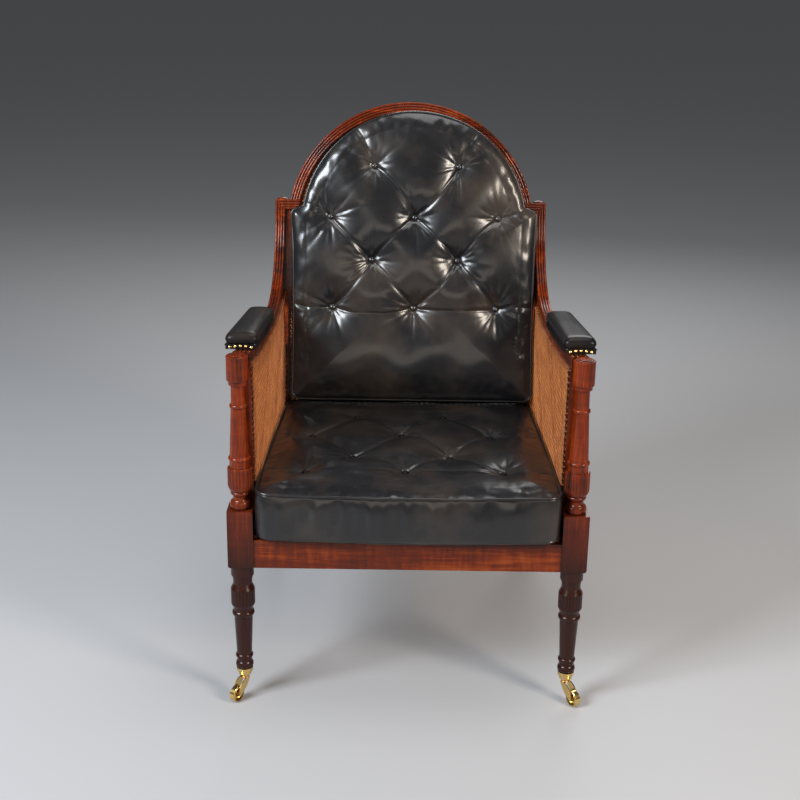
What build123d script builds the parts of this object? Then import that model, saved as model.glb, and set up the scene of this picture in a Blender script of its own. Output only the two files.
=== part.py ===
from build123d import *
import os
from math import atan2, cos, hypot, radians, sin, sqrt, tan

# Library bergere: turned front posts, swept reeded arms, arched reeded back,
# caned back, sides and seat, leather cushions and pads, brass socket casters.
# Millimetres, Z up, the sitter faces -Y. The origin is on the floor below the
# middle of the chair's bounding box.

# Stance and seat frame
post_spacing = 610.0
block_size = 47.0
block_top = 391.0
rail_bottom = 279.0
rail_height = 55.0
front_rail_setback = 3.0
side_rail_width = 50.0
side_rail_setback_front = 6.0
side_rail_setback_rear = 2.0
rear_rail_thickness = 34.0
rear_rail_setback = 2.0
tenon_thickness = 9.0
tenon_height = 38.0
tenon_fit = 0.1
front_tenon_length = 20.0
side_tenon_length = 18.0
rear_side_tenon_length = 9.0
rear_tenon_length = 12.0
corner_block_leg = 44.0
corner_block_drop = 9.0
corner_block_height = 36.0

# Back, measured along its rake from a point at back_datum above the floor
back_rake = 10.5
back_datum = 440.0
back_depth = 565.0
shoulder_rise = 404.0
crest_rise = 614.0
crest_radius = 267.0
shoulder_setback = 12.0
frame_thickness = 30.0
recess_depth = 9.0
cap_radius = 12.5
cap_height = 5.5
cap_rim = 1.6

# Reeding
reed_band = 21.5
reed_count = 4
reed_depth = 1.7

# Inner caning frame of the back
caning_width = 18.0
caning_thickness = 13.0
caning_foot = -102.5
caning_rail_height = 26.0
cane_thickness = 2.6
cane_margin = 6.0
cane_lap = 8.0

# Rear post below the seat
rear_post_width = 28.5
rear_post_thickness = 34.0
leg_sweep_radius = 500.0
leg_foot_thickness = 25.0

# Arms
arm_level = 647.0
arm_front_top = 683.0
arm_depth = 32.0
arm_sweep_radius = 190.0
arm_under_radius = 420.0
arm_front_width = 32.0
arm_nose = 14.0
horn_spare = 2.0
scarf_rise = 302.0

# Side panels
panel_inset = 2.0
panel_rail_height = 28.0
panel_thickness = 20.0
panel_stile_width = 23.5

# Arm pads
pad_front = 17.0
pad_back = 313.0
pad_front_width = 61.0
pad_rear_width = 54.0
pad_overhang = 5.0
pad_thickness = 22.0
pad_board_thickness = 9.5
pad_board_margin = 3.5
pad_edge_height = 8.0
pad_edge_inset = 1.6
pad_corner = 11.0
pad_crown_shares = ((0, 0), (0.06, 0.38), (0.18, 0.68), (0.42, 0.90), (0.72, 1.0))
nail_radius = 3.2
nail_height = 2.4
nail_pitch = 9.6
nail_count = 5
nail_arch = 2.2

# Seat cushion
deck_front_cover = 12.0
deck_side_cover = 7.0
deck_rear_cover = 9.0
seat_cushion_thickness = 94.0
seat_cushion_crown = 20.0
seat_side_gap = 5.5
seat_side_taper = 15.0
seat_rear_drop = 14.0
seat_overhang = 34.0
seat_bow = 11.0
seat_depth = 573.0
seat_corner_front = 26.0
seat_corner_rear = 24.0
seat_waist = 5.0
seat_gap = 0.5
# Distance behind the front post axes, then the buttons across
seat_tufts = (
    (70.0, (-192.0, -6.0, 177.0)),
    (143.0, (-105.0, 80.0)),
    (272.0, (-192.0, -13.0, 164.0)),
    (389.0, (-106.0, 73.0)),
)

# Back cushion, measured on the plane of the back
back_cushion_thickness = 65.0
back_cushion_crown = 24.0
back_crown_reach = 170.0
back_waist = 4.0
back_cushion_foot = -17.0
back_cushion_shift = 7.0
back_foot_margin = 32.0
back_waist_margin = 35.0
back_shoulder_margin = 30.0
back_cushion_shoulder = 384.0
back_cushion_neck = 236.0
back_cushion_top = 592.0
back_cushion_corner = 17.0
shoulder_corner = 11.0
back_cushion_gap = 0.6
back_shoulder_step = 11.0
# Distance up the back, then the buttons across
back_tufts = (
    (476.0, (-78.0, 100.0)),
    (369.0, (-170.0, 8.0, 185.0)),
    (279.0, (-82.0, 100.0)),
    (177.5, (-164.0, 8.0, 183.0)),
)

# Tufting shared by both cushions
tuft_radius = 36.0
seat_tuft_depth = 13.0
back_tuft_depth = 19.0
tuft_floor = 7.6
tuft_lip = 0.6
welt_seam = 0.8
tuft_rise_direction = (1.0, 0.9)
tuft_edge_direction = (1.0, 0.12)
pleat_radius = 4.6
box_shares = ((0, 1.3), (0.09, 0), (0.30, 0.8), (0.55, 1.0), (0.80, 0.8), (1, 0))
edge_shares = ((0, 0), (0.012, 0.26), (0.034, 0.47), (0.070, 0.62))
dome_shares = ((0.070, 0.62), (0.25, 0.82), (0.43, 0.93), (0.61, 0.985), (0.79, 1))
button_radius = 7.0
button_height = 4.6
button_edge = 1.2
button_gap = 0.3

# Front post turning: heights above the floor and radii
leg_tip_radius = 10.0
socket_top = 63.0
ogee_radius = 16.8
ogee_height = 14.0
ankle_radius = 14.2
ankle_height = 7.0
ankle_ring_radius = 16.6
ankle_ring_height = 9.0
taper_foot_radius = 14.1
taper_head_radius = 17.5
leg_ring_low = 173.0
leg_ring_height = 11.0
leg_ring_radius = 21.0
leg_neck_radius = 18.6
leg_cup_low = 190.0
leg_cup_straight = 198.0
leg_cup_top = 229.0
leg_cup_radius = 22.3
flare_top = 239.0
throat_radius = 17.8
throat_top = 251.0
pommel_neck_radius = 18.7
pommel_low = 257.0
pommel_radius = 21.3
block_round_radius = 31.0
block_round_drop = 5.0
torus_radius = 19.4
torus_height = 14.0
torus_foot_radius = 17.6
cavetto_radius = 13.4
cavetto_height = 13.0
bead_radius = 17.8
bead_height = 6.0
bead_edge_radius = 16.2
cup_foot_radius = 16.8
cup_straight = 441.0
cup_top = 471.0
cup_radius = 22.4
cup_lip = 2.0
neck_radius = 18.2
lower_ring_low = 484.0
ring_height = 8.0
lower_ring_radius = 20.3
column_foot_radius = 17.6
column_head_radius = 13.5
upper_ring_low = 583.0
upper_ring_radius = 15.7
collar_foot_radius = 12.9
collar_radius = 12.4
column_collar_top = 627.0
neck_band_radius = 16.6
neck_band_height = 7.0
capital_radius = 19.8
capital_top = 680.0
capital_edge = 2.4
capital_step_height = 1.1
capital_step_shares = (0.80, 0.55)
flute_radius = 1.9
flute_count = 22

# Casters
caster_floor_gap = 0.3
socket_height = 18.0
socket_top_radius = 15.0
socket_foot_radius = 11.8
socket_band = 0.7
socket_band_height = 3.0
socket_base = 4.0
socket_bevel = 3.0
square_socket_top = 15.6
square_socket_foot = 12.0
leg_fit = 0.15
swivel_radius = 3.0
swivel_fit = 0.05
rivet_radius = 5.0
rivet_height = 1.8
rivet_room = 0.6
collar_disc_radius = 8.0
collar_disc_height = 3.0
wheel_radius = 15.5
wheel_width = 11.4
wheel_rim = 3.2
wheel_web = 3.4
hub_radius = 4.6
wheel_edge = 0.9
caster_trail = 25.0
trail_turn = 56.0
cheek_thickness = 2.2
cheek_gap = 0.35
cheek_boss_radius = 4.4
cheek_top_width = 8.4
cheek_crown_share = 0.72
cheek_hollow_share = 0.30
axle_radius = 1.6
axle_fit = 0.05
axle_head_radius = 2.8
axle_head = 0.8
screw_radius = 2.0
screw_length = 4.6
screw_room = 0.25

overrun = 20.0

# Places worked out from the sizes above
rake_sine = sin(radians(back_rake))
rake_cosine = cos(radians(back_rake))
rake_slope = tan(radians(back_rake))
post_x = post_spacing / 2
shoulder_half_width = post_x - shoulder_setback
crest_reach = back_depth + crest_rise * rake_sine + frame_thickness * rake_cosine
cushion_reach = seat_overhang + seat_bow
front_y = -(crest_reach - cushion_reach) / 2
back_y = front_y + back_depth
block_front_y = front_y - block_size / 2
block_back_y = front_y + block_size / 2
rail_top = rail_bottom + rail_height
rear_front_y = back_y - (back_datum - block_top) * rake_slope
rear_back_y = rear_front_y + rear_post_thickness
post_inner_x = shoulder_half_width - rear_post_width
reed_inner_x = shoulder_half_width - reed_band
panel_front_x = post_x - block_size / 2 + panel_inset
sweep_centre_z = arm_level + arm_sweep_radius
horn_top_z = sweep_centre_z - arm_sweep_radius * rake_sine
horn_rise = (horn_top_z - back_datum) / rake_cosine
horn_y = back_y + horn_rise * rake_sine
panel_lean = (panel_front_x - reed_inner_x) / (horn_y - block_back_y)
panel_rear_x = panel_front_x - panel_lean * (rear_front_y - block_back_y)
side_turn = atan2(panel_front_x - reed_inner_x, horn_y - block_back_y)
side_length = hypot(panel_front_x - panel_rear_x, rear_front_y - block_back_y)

back_plane = Plane(
    origin=(0, back_y, back_datum),
    x_dir=(1, 0, 0),
    z_dir=(0, -rake_cosine, rake_sine),
)
side_plane = Plane(
    origin=(panel_front_x, block_back_y, 0),
    x_dir=(-sin(side_turn), cos(side_turn), 0),
    z_dir=(cos(side_turn), sin(side_turn), 0),
)
right_section = Plane(origin=(post_inner_x, 0, 0), x_dir=(0, 1, 0), z_dir=(1, 0, 0))
post_section = Plane(origin=(post_x, front_y, 0), x_dir=(1, 0, 0), z_dir=(0, -1, 0))

os.makedirs("parts", exist_ok=True)


def save(piece, name):
    piece.label = name
    export_step(piece, "parts/" + name + ".step")
    print(name, "solids", len(piece.solids()), "volume", round(piece.volume / 1000, 1), "cm3")


def save_pair(piece, name):
    save(piece, name + "_right")
    with BuildPart() as mirrored:
        mirror(piece, about=Plane.YZ)
    save(mirrored.part, name + "_left")


def dome(place, radius, height):
    """Low spherical dome standing on a plane."""
    sphere = (radius**2 + height**2) / (2 * height)
    with BuildPart() as raised:
        with Locations(place.offset(height - sphere)):
            Sphere(sphere)
        split(bisect_by=place, keep=Keep.TOP)
    return raised.part


# Front posts: one turning from the socket to the capital, with a square block


def flute_ring(height, length, radius):
    with BuildPart() as flutes:
        with BuildSketch(Plane(origin=(post_x, front_y, height))):
            with PolarLocations(radius + flute_radius / 3, flute_count):
                Circle(flute_radius)
        extrude(amount=length)
    return flutes.part


leg_tip_foot = socket_top - socket_height + socket_base + rivet_height + rivet_room
ogee_top = socket_top + ogee_height
ankle_top = ogee_top + ankle_height
ankle_ring_top = ankle_top + ankle_ring_height
leg_ring_top = leg_ring_low + leg_ring_height

with BuildPart() as front_post_right:
    with BuildSketch(post_section):
        with BuildLine():
            Polyline((0, leg_tip_foot), (leg_tip_radius, leg_tip_foot), (leg_tip_radius, socket_top))
            Line((leg_tip_radius, socket_top), (ankle_radius, socket_top))
            ThreePointArc(
                (ankle_radius, socket_top),
                (ogee_radius, socket_top + ogee_height / 2),
                (ankle_radius, ogee_top),
            )
            Line((ankle_radius, ogee_top), (ankle_radius, ankle_top))
            ThreePointArc(
                (ankle_radius, ankle_top),
                (ankle_ring_radius, ankle_top + ankle_ring_height / 2),
                (taper_foot_radius, ankle_ring_top),
            )
            Line((taper_foot_radius, ankle_ring_top), (taper_head_radius, leg_ring_low))
            ThreePointArc(
                (taper_head_radius, leg_ring_low),
                (leg_ring_radius, leg_ring_low + leg_ring_height / 2),
                (leg_neck_radius, leg_ring_top),
            )
            Polyline(
                (leg_neck_radius, leg_ring_top),
                (leg_neck_radius, leg_cup_low),
                (leg_cup_radius, leg_cup_straight),
                (leg_cup_radius, leg_cup_top),
            )
            Line((leg_cup_radius, leg_cup_top), (throat_radius, flare_top))
            Polyline(
                (throat_radius, flare_top),
                (throat_radius, throat_top),
                (pommel_neck_radius, throat_top),
                (pommel_neck_radius, pommel_low),
                (pommel_radius, pommel_low),
                (pommel_radius, rail_bottom),
                (0, rail_bottom),
                (0, leg_tip_foot),
            )
        make_face()
    revolve(axis=Axis((post_x, front_y, 0), (0, 0, 1)))
    with BuildSketch(post_section):
        torus_top = block_top + torus_height
        bead_low = torus_top + cavetto_height
        bead_top = bead_low + bead_height
        ring_top = lower_ring_low + ring_height
        upper_ring_top = upper_ring_low + ring_height
        band_top = column_collar_top + neck_band_height
        with BuildLine():
            Polyline((0, block_top), (torus_foot_radius, block_top))
            ThreePointArc(
                (torus_foot_radius, block_top),
                (torus_radius, block_top + torus_height / 2),
                (torus_foot_radius, torus_top),
            )
            ThreePointArc(
                (torus_foot_radius, torus_top),
                (cavetto_radius, torus_top + cavetto_height / 2),
                (bead_edge_radius, bead_low),
            )
            ThreePointArc(
                (bead_edge_radius, bead_low),
                (bead_radius, bead_low + bead_height / 2),
                (cup_foot_radius, bead_top),
            )
            ThreePointArc(
                (cup_foot_radius, bead_top),
                ((cup_foot_radius + 2 * cup_radius) / 3, (2 * bead_top + cup_straight) / 3),
                (cup_radius, cup_straight),
            )
            Polyline(
                (cup_radius, cup_straight),
                (cup_radius, cup_top - cup_lip),
                (cup_radius - cup_lip, cup_top),
                (neck_radius, cup_top),
                (neck_radius, lower_ring_low),
            )
            ThreePointArc(
                (neck_radius, lower_ring_low),
                (lower_ring_radius, lower_ring_low + ring_height / 2),
                (column_foot_radius, ring_top),
            )
            Line((column_foot_radius, ring_top), (column_head_radius, upper_ring_low))
            ThreePointArc(
                (column_head_radius, upper_ring_low),
                (upper_ring_radius, upper_ring_low + ring_height / 2),
                (collar_foot_radius, upper_ring_top),
            )
            Polyline(
                (collar_foot_radius, upper_ring_top),
                (collar_radius, column_collar_top),
                (neck_band_radius, column_collar_top),
                (neck_band_radius, band_top),
                (capital_radius - capital_edge, band_top),
            )
            RadiusArc(
                (capital_radius - capital_edge, band_top),
                (capital_radius, band_top + capital_edge),
                -capital_edge,
            )
            Polyline(
                (capital_radius, band_top + capital_edge),
                (capital_radius, capital_top - capital_edge / 2),
                (capital_radius - capital_edge / 2, capital_top),
                (capital_radius * capital_step_shares[0], capital_top),
                (capital_radius * capital_step_shares[0], capital_top + capital_step_height),
                (capital_radius * capital_step_shares[1], capital_top + capital_step_height),
                (capital_radius * capital_step_shares[1], capital_top + 2 * capital_step_height),
                (0, capital_top + 2 * capital_step_height),
                (0, block_top),
            )
        make_face()
    revolve(axis=Axis((post_x, front_y, 0), (0, 0, 1)))
    add(flute_ring(leg_cup_low, leg_cup_top - leg_cup_low, leg_cup_radius), mode=Mode.SUBTRACT)
    add(flute_ring(bead_top, cup_top - bead_top, cup_radius), mode=Mode.SUBTRACT)
    with BuildSketch(Plane(origin=(post_x, front_y, rail_bottom))):
        Rectangle(block_size, block_size)
    extrude(amount=block_top - rail_bottom)
    # The lathe takes the block's corners off in a round at both ends
    with BuildSketch(post_section):
        with BuildLine():
            Polyline(
                (block_round_radius, block_top),
                (block_size, block_top),
                (block_size, block_top - block_round_drop),
                (block_size * sqrt(2) / 2, block_top - block_round_drop),
            )
            Line((block_size * sqrt(2) / 2, block_top - block_round_drop), (block_round_radius, block_top))
        make_face()
        with BuildLine():
            Polyline(
                (block_round_radius, rail_bottom),
                (block_size, rail_bottom),
                (block_size, rail_bottom + block_round_drop),
                (block_size * sqrt(2) / 2, rail_bottom + block_round_drop),
            )
            Line((block_size * sqrt(2) / 2, rail_bottom + block_round_drop), (block_round_radius, rail_bottom))
        make_face()
    revolve(axis=Axis((post_x, front_y, 0), (0, 0, 1)), mode=Mode.SUBTRACT)

# Mortises for the front and side rails
tenon_low = rail_bottom + (rail_height - tenon_height) / 2
front_rail_front_y = block_front_y + front_rail_setback
front_tenon_y = front_y
side_rail_outer_front = post_x + block_size / 2 - side_rail_setback_front
side_rail_outer_rear = shoulder_half_width - side_rail_setback_rear
side_tenon_front_x = post_x + block_size / 4
side_tenon_rear_x = shoulder_half_width - tenon_thickness
rear_rail_front_y = rear_front_y
rear_rail_back_y = rear_front_y + rear_rail_thickness - rear_rail_setback
rear_tenon_y = (rear_rail_front_y + rear_rail_back_y) / 2 + tenon_thickness / 2


def tenon(x, y, width, depth, height, fit):
    with BuildPart() as tongue:
        with BuildSketch(Plane(origin=(x, y, tenon_low - fit))):
            Rectangle(width + 2 * fit, depth + 2 * fit)
        extrude(amount=height + 2 * fit)
    return tongue.part


front_tenon_x = post_x - block_size / 2 + front_tenon_length / 2
side_front_tenon_y = block_back_y - side_tenon_length / 2
side_rear_tenon_y = rear_front_y + rear_side_tenon_length / 2
rear_tenon_x = post_inner_x + rear_tenon_length / 2

with BuildPart(mode=Mode.PRIVATE) as front_mortises:
    add(tenon(front_tenon_x, front_tenon_y, front_tenon_length, tenon_thickness, tenon_height, tenon_fit))
    add(tenon(side_tenon_front_x, side_front_tenon_y, tenon_thickness, side_tenon_length, tenon_height, tenon_fit))

with BuildPart() as front_post:
    add(front_post_right.part)
    add(front_mortises.part, mode=Mode.SUBTRACT)
save_pair(front_post.part, "front_post")

# Seat rails with their tenons
with BuildPart() as front_rail:
    with BuildSketch(Plane.XY.offset(rail_bottom)):
        with BuildLine():
            Polyline(
                (-post_x + block_size / 2, front_rail_front_y),
                (post_x - block_size / 2, front_rail_front_y),
                (post_x - block_size / 2, block_back_y),
                (-post_x + block_size / 2, block_back_y),
                close=True,
            )
        make_face()
    extrude(amount=rail_height)
    add(tenon(front_tenon_x, front_tenon_y, front_tenon_length, tenon_thickness, tenon_height, 0))
    add(tenon(-front_tenon_x, front_tenon_y, front_tenon_length, tenon_thickness, tenon_height, 0))
save(front_rail.part, "front_seat_rail")

side_rail_inner_front = side_rail_outer_front - side_rail_width
side_rail_inner_rear = side_rail_outer_rear - side_rail_width
with BuildPart() as side_rail:
    with BuildSketch(Plane.XY.offset(rail_bottom)):
        with BuildLine():
            Polyline(
                (side_rail_outer_front, block_back_y),
                (side_rail_outer_rear, rear_front_y),
                (side_rail_inner_rear, rear_front_y),
                (side_rail_inner_front, block_back_y),
                close=True,
            )
        make_face()
    extrude(amount=rail_height)
    add(tenon(side_tenon_front_x, side_front_tenon_y, tenon_thickness, side_tenon_length, tenon_height, 0))
    add(tenon(side_tenon_rear_x, side_rear_tenon_y, tenon_thickness, rear_side_tenon_length, tenon_height, 0))
save_pair(side_rail.part, "side_seat_rail")

with BuildPart() as rear_rail:
    with BuildSketch(Plane.XY.offset(rail_bottom)):
        with BuildLine():
            Polyline(
                (-post_inner_x, rear_rail_front_y),
                (post_inner_x, rear_rail_front_y),
                (post_inner_x, rear_rail_back_y),
                (-post_inner_x, rear_rail_back_y),
                close=True,
            )
        make_face()
    extrude(amount=rail_height)
    add(tenon(rear_tenon_x, rear_tenon_y, rear_tenon_length, tenon_thickness, tenon_height, 0))
    add(tenon(-rear_tenon_x, rear_tenon_y, rear_tenon_length, tenon_thickness, tenon_height, 0))
save(rear_rail.part, "rear_seat_rail")

# Glued corner blocks under the seat
side_rail_lean = (side_rail_inner_front - side_rail_inner_rear) / (rear_front_y - block_back_y)
with BuildPart() as corner_blocks:
    with BuildSketch(Plane.XY.offset(rail_bottom + corner_block_drop)):
        with BuildLine():
            Polyline(
                (side_rail_inner_front, block_back_y),
                (side_rail_inner_front - corner_block_leg * side_rail_lean, block_back_y + corner_block_leg),
                (side_rail_inner_front - corner_block_leg, block_back_y),
                close=True,
            )
        make_face()
        with BuildLine():
            Polyline(
                (side_rail_inner_rear, rear_front_y),
                (side_rail_inner_rear - corner_block_leg, rear_front_y),
                (side_rail_inner_rear + corner_block_leg * side_rail_lean, rear_front_y - corner_block_leg),
                close=True,
            )
        make_face()
        mirror(about=Plane.YZ)
    extrude(amount=corner_block_height)
save(corner_blocks.part, "seat_corner_blocks")

# Arms: the reeded top follows two arcs, a shallow one over the seat and a
# tighter one that sweeps up to the face of the back
post_line_s = side_length + (back_datum - block_top) * rake_slope
sweep_centre_s = post_line_s + (sweep_centre_z - back_datum) * rake_slope - arm_sweep_radius / rake_cosine
front_run = sweep_centre_s + arm_nose
front_drop = arm_front_top - arm_level
front_radius = (front_run**2 + front_drop**2) / (2 * front_drop)
front_angle = atan2(front_run, front_radius - front_drop)
sweep_end_angle = 90 - back_rake + horn_spare


def arm_width_at(s):
    share = (s + arm_nose) / (sweep_centre_s + arm_nose)
    return arm_front_width + (reed_band - arm_front_width) * share


def reeded_edge(width, depth):
    """Closed section: reeds along the top edge, plain sides and bottom."""
    pitch = width / reed_count
    for reed in range(reed_count):
        ThreePointArc(
            (reed * pitch, -reed_depth),
            ((reed + 1 / 2) * pitch, 0),
            ((reed + 1) * pitch, -reed_depth),
        )
    Polyline((width, -reed_depth), (width, -depth), (0, -depth), (0, -reed_depth))


front_stations = 4
arm_stock_depth = arm_depth + frame_thickness
sweep_axis = Axis(
    side_plane.from_local_coords(Vector(sweep_centre_s, sweep_centre_z, 0)),
    -side_plane.z_dir,
)
with BuildPart() as arm_stock:
    for i in range(front_stations + 1):
        turn = front_angle * (i / front_stations - 1)
        s = sweep_centre_s + front_radius * sin(turn)
        z = arm_level + front_radius * (1 - cos(turn))
        place = side_plane.from_local_coords(Vector(s, z, 0))
        along = side_plane.x_dir * cos(turn) + side_plane.y_dir * sin(turn)
        with BuildSketch(Plane(origin=place, x_dir=side_plane.z_dir, z_dir=-along)):
            with BuildLine():
                reeded_edge(arm_width_at(s), arm_stock_depth)
            make_face()
    loft()
    with BuildSketch(
        Plane(
            origin=side_plane.from_local_coords(Vector(sweep_centre_s, arm_level, 0)),
            x_dir=side_plane.z_dir,
            z_dir=-side_plane.x_dir,
        )
    ):
        with BuildLine():
            reeded_edge(reed_band, arm_stock_depth)
        make_face()
    revolve(axis=sweep_axis, revolution_arc=-sweep_end_angle)

face_s = post_line_s


def line_s(z):
    return face_s + (z - back_datum) * rake_slope


under_front_z = arm_front_top - arm_depth
under_low_z = arm_level - arm_depth
under_run = sweep_centre_s + arm_nose
under_drop = under_front_z - under_low_z
under_reach = side_length + under_drop / 2 - sweep_centre_s
under_back_z = under_low_z + arm_under_radius - sqrt(arm_under_radius**2 - under_reach**2)
top_clear_z = horn_top_z + overrun

with BuildPart() as arm_envelope:
    with BuildSketch(side_plane):
        with BuildLine():
            under_front = (-arm_nose, under_front_z)
            under_low = (sweep_centre_s, under_low_z)
            under_back = (line_s(under_back_z), under_back_z)
            ThreePointArc(
                under_front,
                (
                    sweep_centre_s - under_run / 2,
                    under_low_z + under_drop / 4,
                ),
                under_low,
            )
            TangentArc(under_low, under_back, tangent=(1, 0))
            Polyline(
                under_back,
                (under_back[0] + recess_depth * rake_cosine, under_back_z - recess_depth * rake_sine),
                (
                    line_s(top_clear_z) + recess_depth * rake_cosine,
                    top_clear_z - recess_depth * rake_sine,
                ),
                (line_s(top_clear_z), top_clear_z),
                (-arm_nose, top_clear_z),
                under_front,
            )
        make_face()
    extrude(amount=arm_front_width + overrun, both=True)

with BuildPart() as arm_whole:
    add(arm_stock.part)
    add(arm_envelope.part, mode=Mode.INTERSECT)

# The sweep is scarfed: its upper end belongs to the rear post
scarf_plane = Plane(origin=back_plane.from_local_coords(Vector(0, scarf_rise, 0)), z_dir=back_plane.y_dir)
with BuildPart() as arm:
    add(arm_whole.part)
    split(bisect_by=scarf_plane, keep=Keep.BOTTOM)
    with BuildSketch(Plane(origin=(post_x, front_y, column_collar_top))):
        Circle(capital_radius)
    extrude(amount=capital_top - column_collar_top + overrun, mode=Mode.SUBTRACT)
save_pair(arm.part, "arm")

horn_plane = Plane(origin=back_plane.from_local_coords(Vector(0, horn_rise, 0)), z_dir=back_plane.y_dir)
with BuildPart() as horn:
    add(arm_whole.part)
    split(bisect_by=scarf_plane, keep=Keep.TOP)
    split(bisect_by=horn_plane, keep=Keep.BOTTOM)

# Rear posts: swept leg, upright block and raked stile in one length
leg_top_y = (rear_front_y + rear_back_y) / 2
leg_fall = rail_bottom - socket_top
leg_turn = atan2(leg_fall, sqrt(leg_sweep_radius**2 - leg_fall**2))
foot_y = leg_top_y + leg_sweep_radius * (1 - cos(leg_turn))
stile_top_rise = horn_rise
under_back_rise = (under_back_z - back_datum) / rake_cosine


def back_point(rise, inset):
    """Global Y and Z of a point on the back's side view."""
    return (
        back_y + rise * rake_sine + inset * rake_cosine,
        back_datum + rise * rake_cosine - inset * rake_sine,
    )


with BuildPart() as rear_post:
    with BuildSketch(right_section):
        with BuildLine():
            Polyline(
                (rear_front_y, rail_bottom),
                (rear_front_y, block_top),
                back_point(under_back_rise, 0),
                back_point(under_back_rise, recess_depth),
                back_point(stile_top_rise, recess_depth),
                back_point(stile_top_rise, frame_thickness),
                (
                    rear_back_y,
                    back_datum - (back_y + frame_thickness / rake_cosine - rear_back_y) / rake_slope,
                ),
                (rear_back_y, rail_bottom),
            )
            TangentArc(
                (rear_back_y, rail_bottom),
                (foot_y + leg_foot_thickness / 2, socket_top),
                tangent=(0, -1),
            )
            Line(
                (foot_y + leg_foot_thickness / 2, socket_top),
                (foot_y - leg_foot_thickness / 2, socket_top),
            )
            TangentArc(
                (rear_front_y, rail_bottom),
                (foot_y - leg_foot_thickness / 2, socket_top),
                tangent=(0, -1),
            )
        make_face()
    extrude(amount=rear_post_width)
    add(horn.part)
    add(arm.part, mode=Mode.SUBTRACT)
    post_centre_x = post_inner_x + rear_post_width / 2
    with BuildSketch(Plane(origin=(post_centre_x, foot_y, leg_tip_foot))):
        Rectangle(2 * leg_tip_radius, 2 * leg_tip_radius)
    extrude(amount=socket_top - leg_tip_foot + overrun / 4)
    add(
        tenon(side_tenon_rear_x, side_rear_tenon_y, tenon_thickness, rear_side_tenon_length, tenon_height, tenon_fit),
        mode=Mode.SUBTRACT,
    )
    add(
        tenon(rear_tenon_x, rear_tenon_y, rear_tenon_length, tenon_thickness, tenon_height, tenon_fit),
        mode=Mode.SUBTRACT,
    )
save_pair(rear_post.part, "rear_post")

# Shouldered crest: an arch of concentric reeds standing on mitred shoulders
crest_centre = crest_rise - crest_radius
crest_inner = crest_radius - reed_band
shoulder_under = shoulder_rise - reed_band
crest_axis = Axis(back_plane.from_local_coords(Vector(0, crest_centre, 0)), back_plane.z_dir)


def on_back(x, rise, offset):
    return back_plane.from_local_coords(Vector(x, rise, offset))


def half_chord(radius, rise):
    return sqrt(radius**2 - (rise - crest_centre) ** 2)


def shouldered_arch(half_width, foot, shoulder, radius):
    """Closed outline: straight sides, square shoulders and a round arch."""
    neck = half_chord(radius, shoulder)
    Polyline(
        (-neck, shoulder),
        (-half_width, shoulder),
        (-half_width, foot),
        (half_width, foot),
        (half_width, shoulder),
        (neck, shoulder),
    )
    ThreePointArc((neck, shoulder), (0, crest_centre + radius), (-neck, shoulder))


with BuildPart() as crest_arch:
    with BuildSketch(
        Plane(origin=on_back(crest_inner, crest_centre, 0), x_dir=back_plane.x_dir, z_dir=-back_plane.y_dir)
    ):
        with BuildLine():
            reeded_edge(reed_band, frame_thickness)
        make_face()
    revolve(axis=crest_axis, revolution_arc=180)
    split(bisect_by=Plane(origin=on_back(0, shoulder_rise, 0), z_dir=back_plane.y_dir), keep=Keep.TOP)
save(crest_arch.part, "crest_arch")

mitre_plane = Plane(
    origin=on_back(shoulder_half_width, shoulder_rise, 0),
    z_dir=back_plane.x_dir - back_plane.y_dir,
)
with BuildPart() as shoulder_upright:
    with BuildSketch(Plane(origin=on_back(reed_inner_x, horn_rise, 0), x_dir=back_plane.x_dir, z_dir=-back_plane.y_dir)):
        with BuildLine():
            reeded_edge(reed_band, frame_thickness)
        make_face()
    extrude(amount=-(shoulder_rise - horn_rise))
    split(bisect_by=mitre_plane, keep=Keep.TOP)
with BuildPart() as shoulder_block:
    with BuildSketch(Plane(origin=on_back(0, shoulder_under, 0), x_dir=back_plane.y_dir, z_dir=back_plane.x_dir)):
        with BuildLine():
            reeded_edge(reed_band, frame_thickness)
        make_face()
    extrude(amount=shoulder_half_width)
    split(bisect_by=mitre_plane, keep=Keep.BOTTOM)
    with BuildSketch(Plane(origin=on_back(0, crest_centre, 0), x_dir=back_plane.x_dir, z_dir=back_plane.z_dir)):
        Circle(crest_inner)
    extrude(amount=2 * frame_thickness, both=True, mode=Mode.SUBTRACT)
    add(shoulder_upright.part)
    with BuildSketch(back_plane.offset(-recess_depth)):
        with BuildLine():
            Polyline(
                (post_inner_x, horn_rise),
                (reed_inner_x, horn_rise),
                (reed_inner_x, shoulder_under),
                (post_inner_x, shoulder_under),
                close=True,
            )
        make_face()
    extrude(amount=recess_depth - frame_thickness)
save_pair(shoulder_block.part, "shoulder_block")

cap_x = shoulder_half_width - frame_thickness / 2
cap_place = Plane(
    origin=on_back(cap_x, shoulder_rise, -frame_thickness / 2),
    x_dir=back_plane.x_dir,
    z_dir=back_plane.y_dir,
)
with BuildPart() as shoulder_cap:
    with BuildSketch(cap_place):
        Circle(cap_radius)
    extrude(amount=cap_rim)
    add(dome(cap_place.offset(cap_rim), cap_radius - cap_rim / 2, cap_height - cap_rim))
save_pair(shoulder_cap.part, "shoulder_cap")

# Inner frame that carries the cane of the back, resting on the seat deck
deck_top = rail_top + cane_thickness
with BuildPart() as caning_frame:
    with BuildSketch(back_plane.offset(-recess_depth)):
        with BuildLine():
            shouldered_arch(post_inner_x, caning_foot - overrun, shoulder_under, crest_inner)
        make_face()
        with BuildLine():
            shouldered_arch(
                post_inner_x - caning_width,
                caning_foot + caning_rail_height,
                shoulder_under - caning_width,
                crest_inner - caning_width,
            )
        make_face(mode=Mode.SUBTRACT)
    extrude(amount=-caning_thickness)
    split(bisect_by=Plane.XY.offset(deck_top), keep=Keep.TOP)

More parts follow.
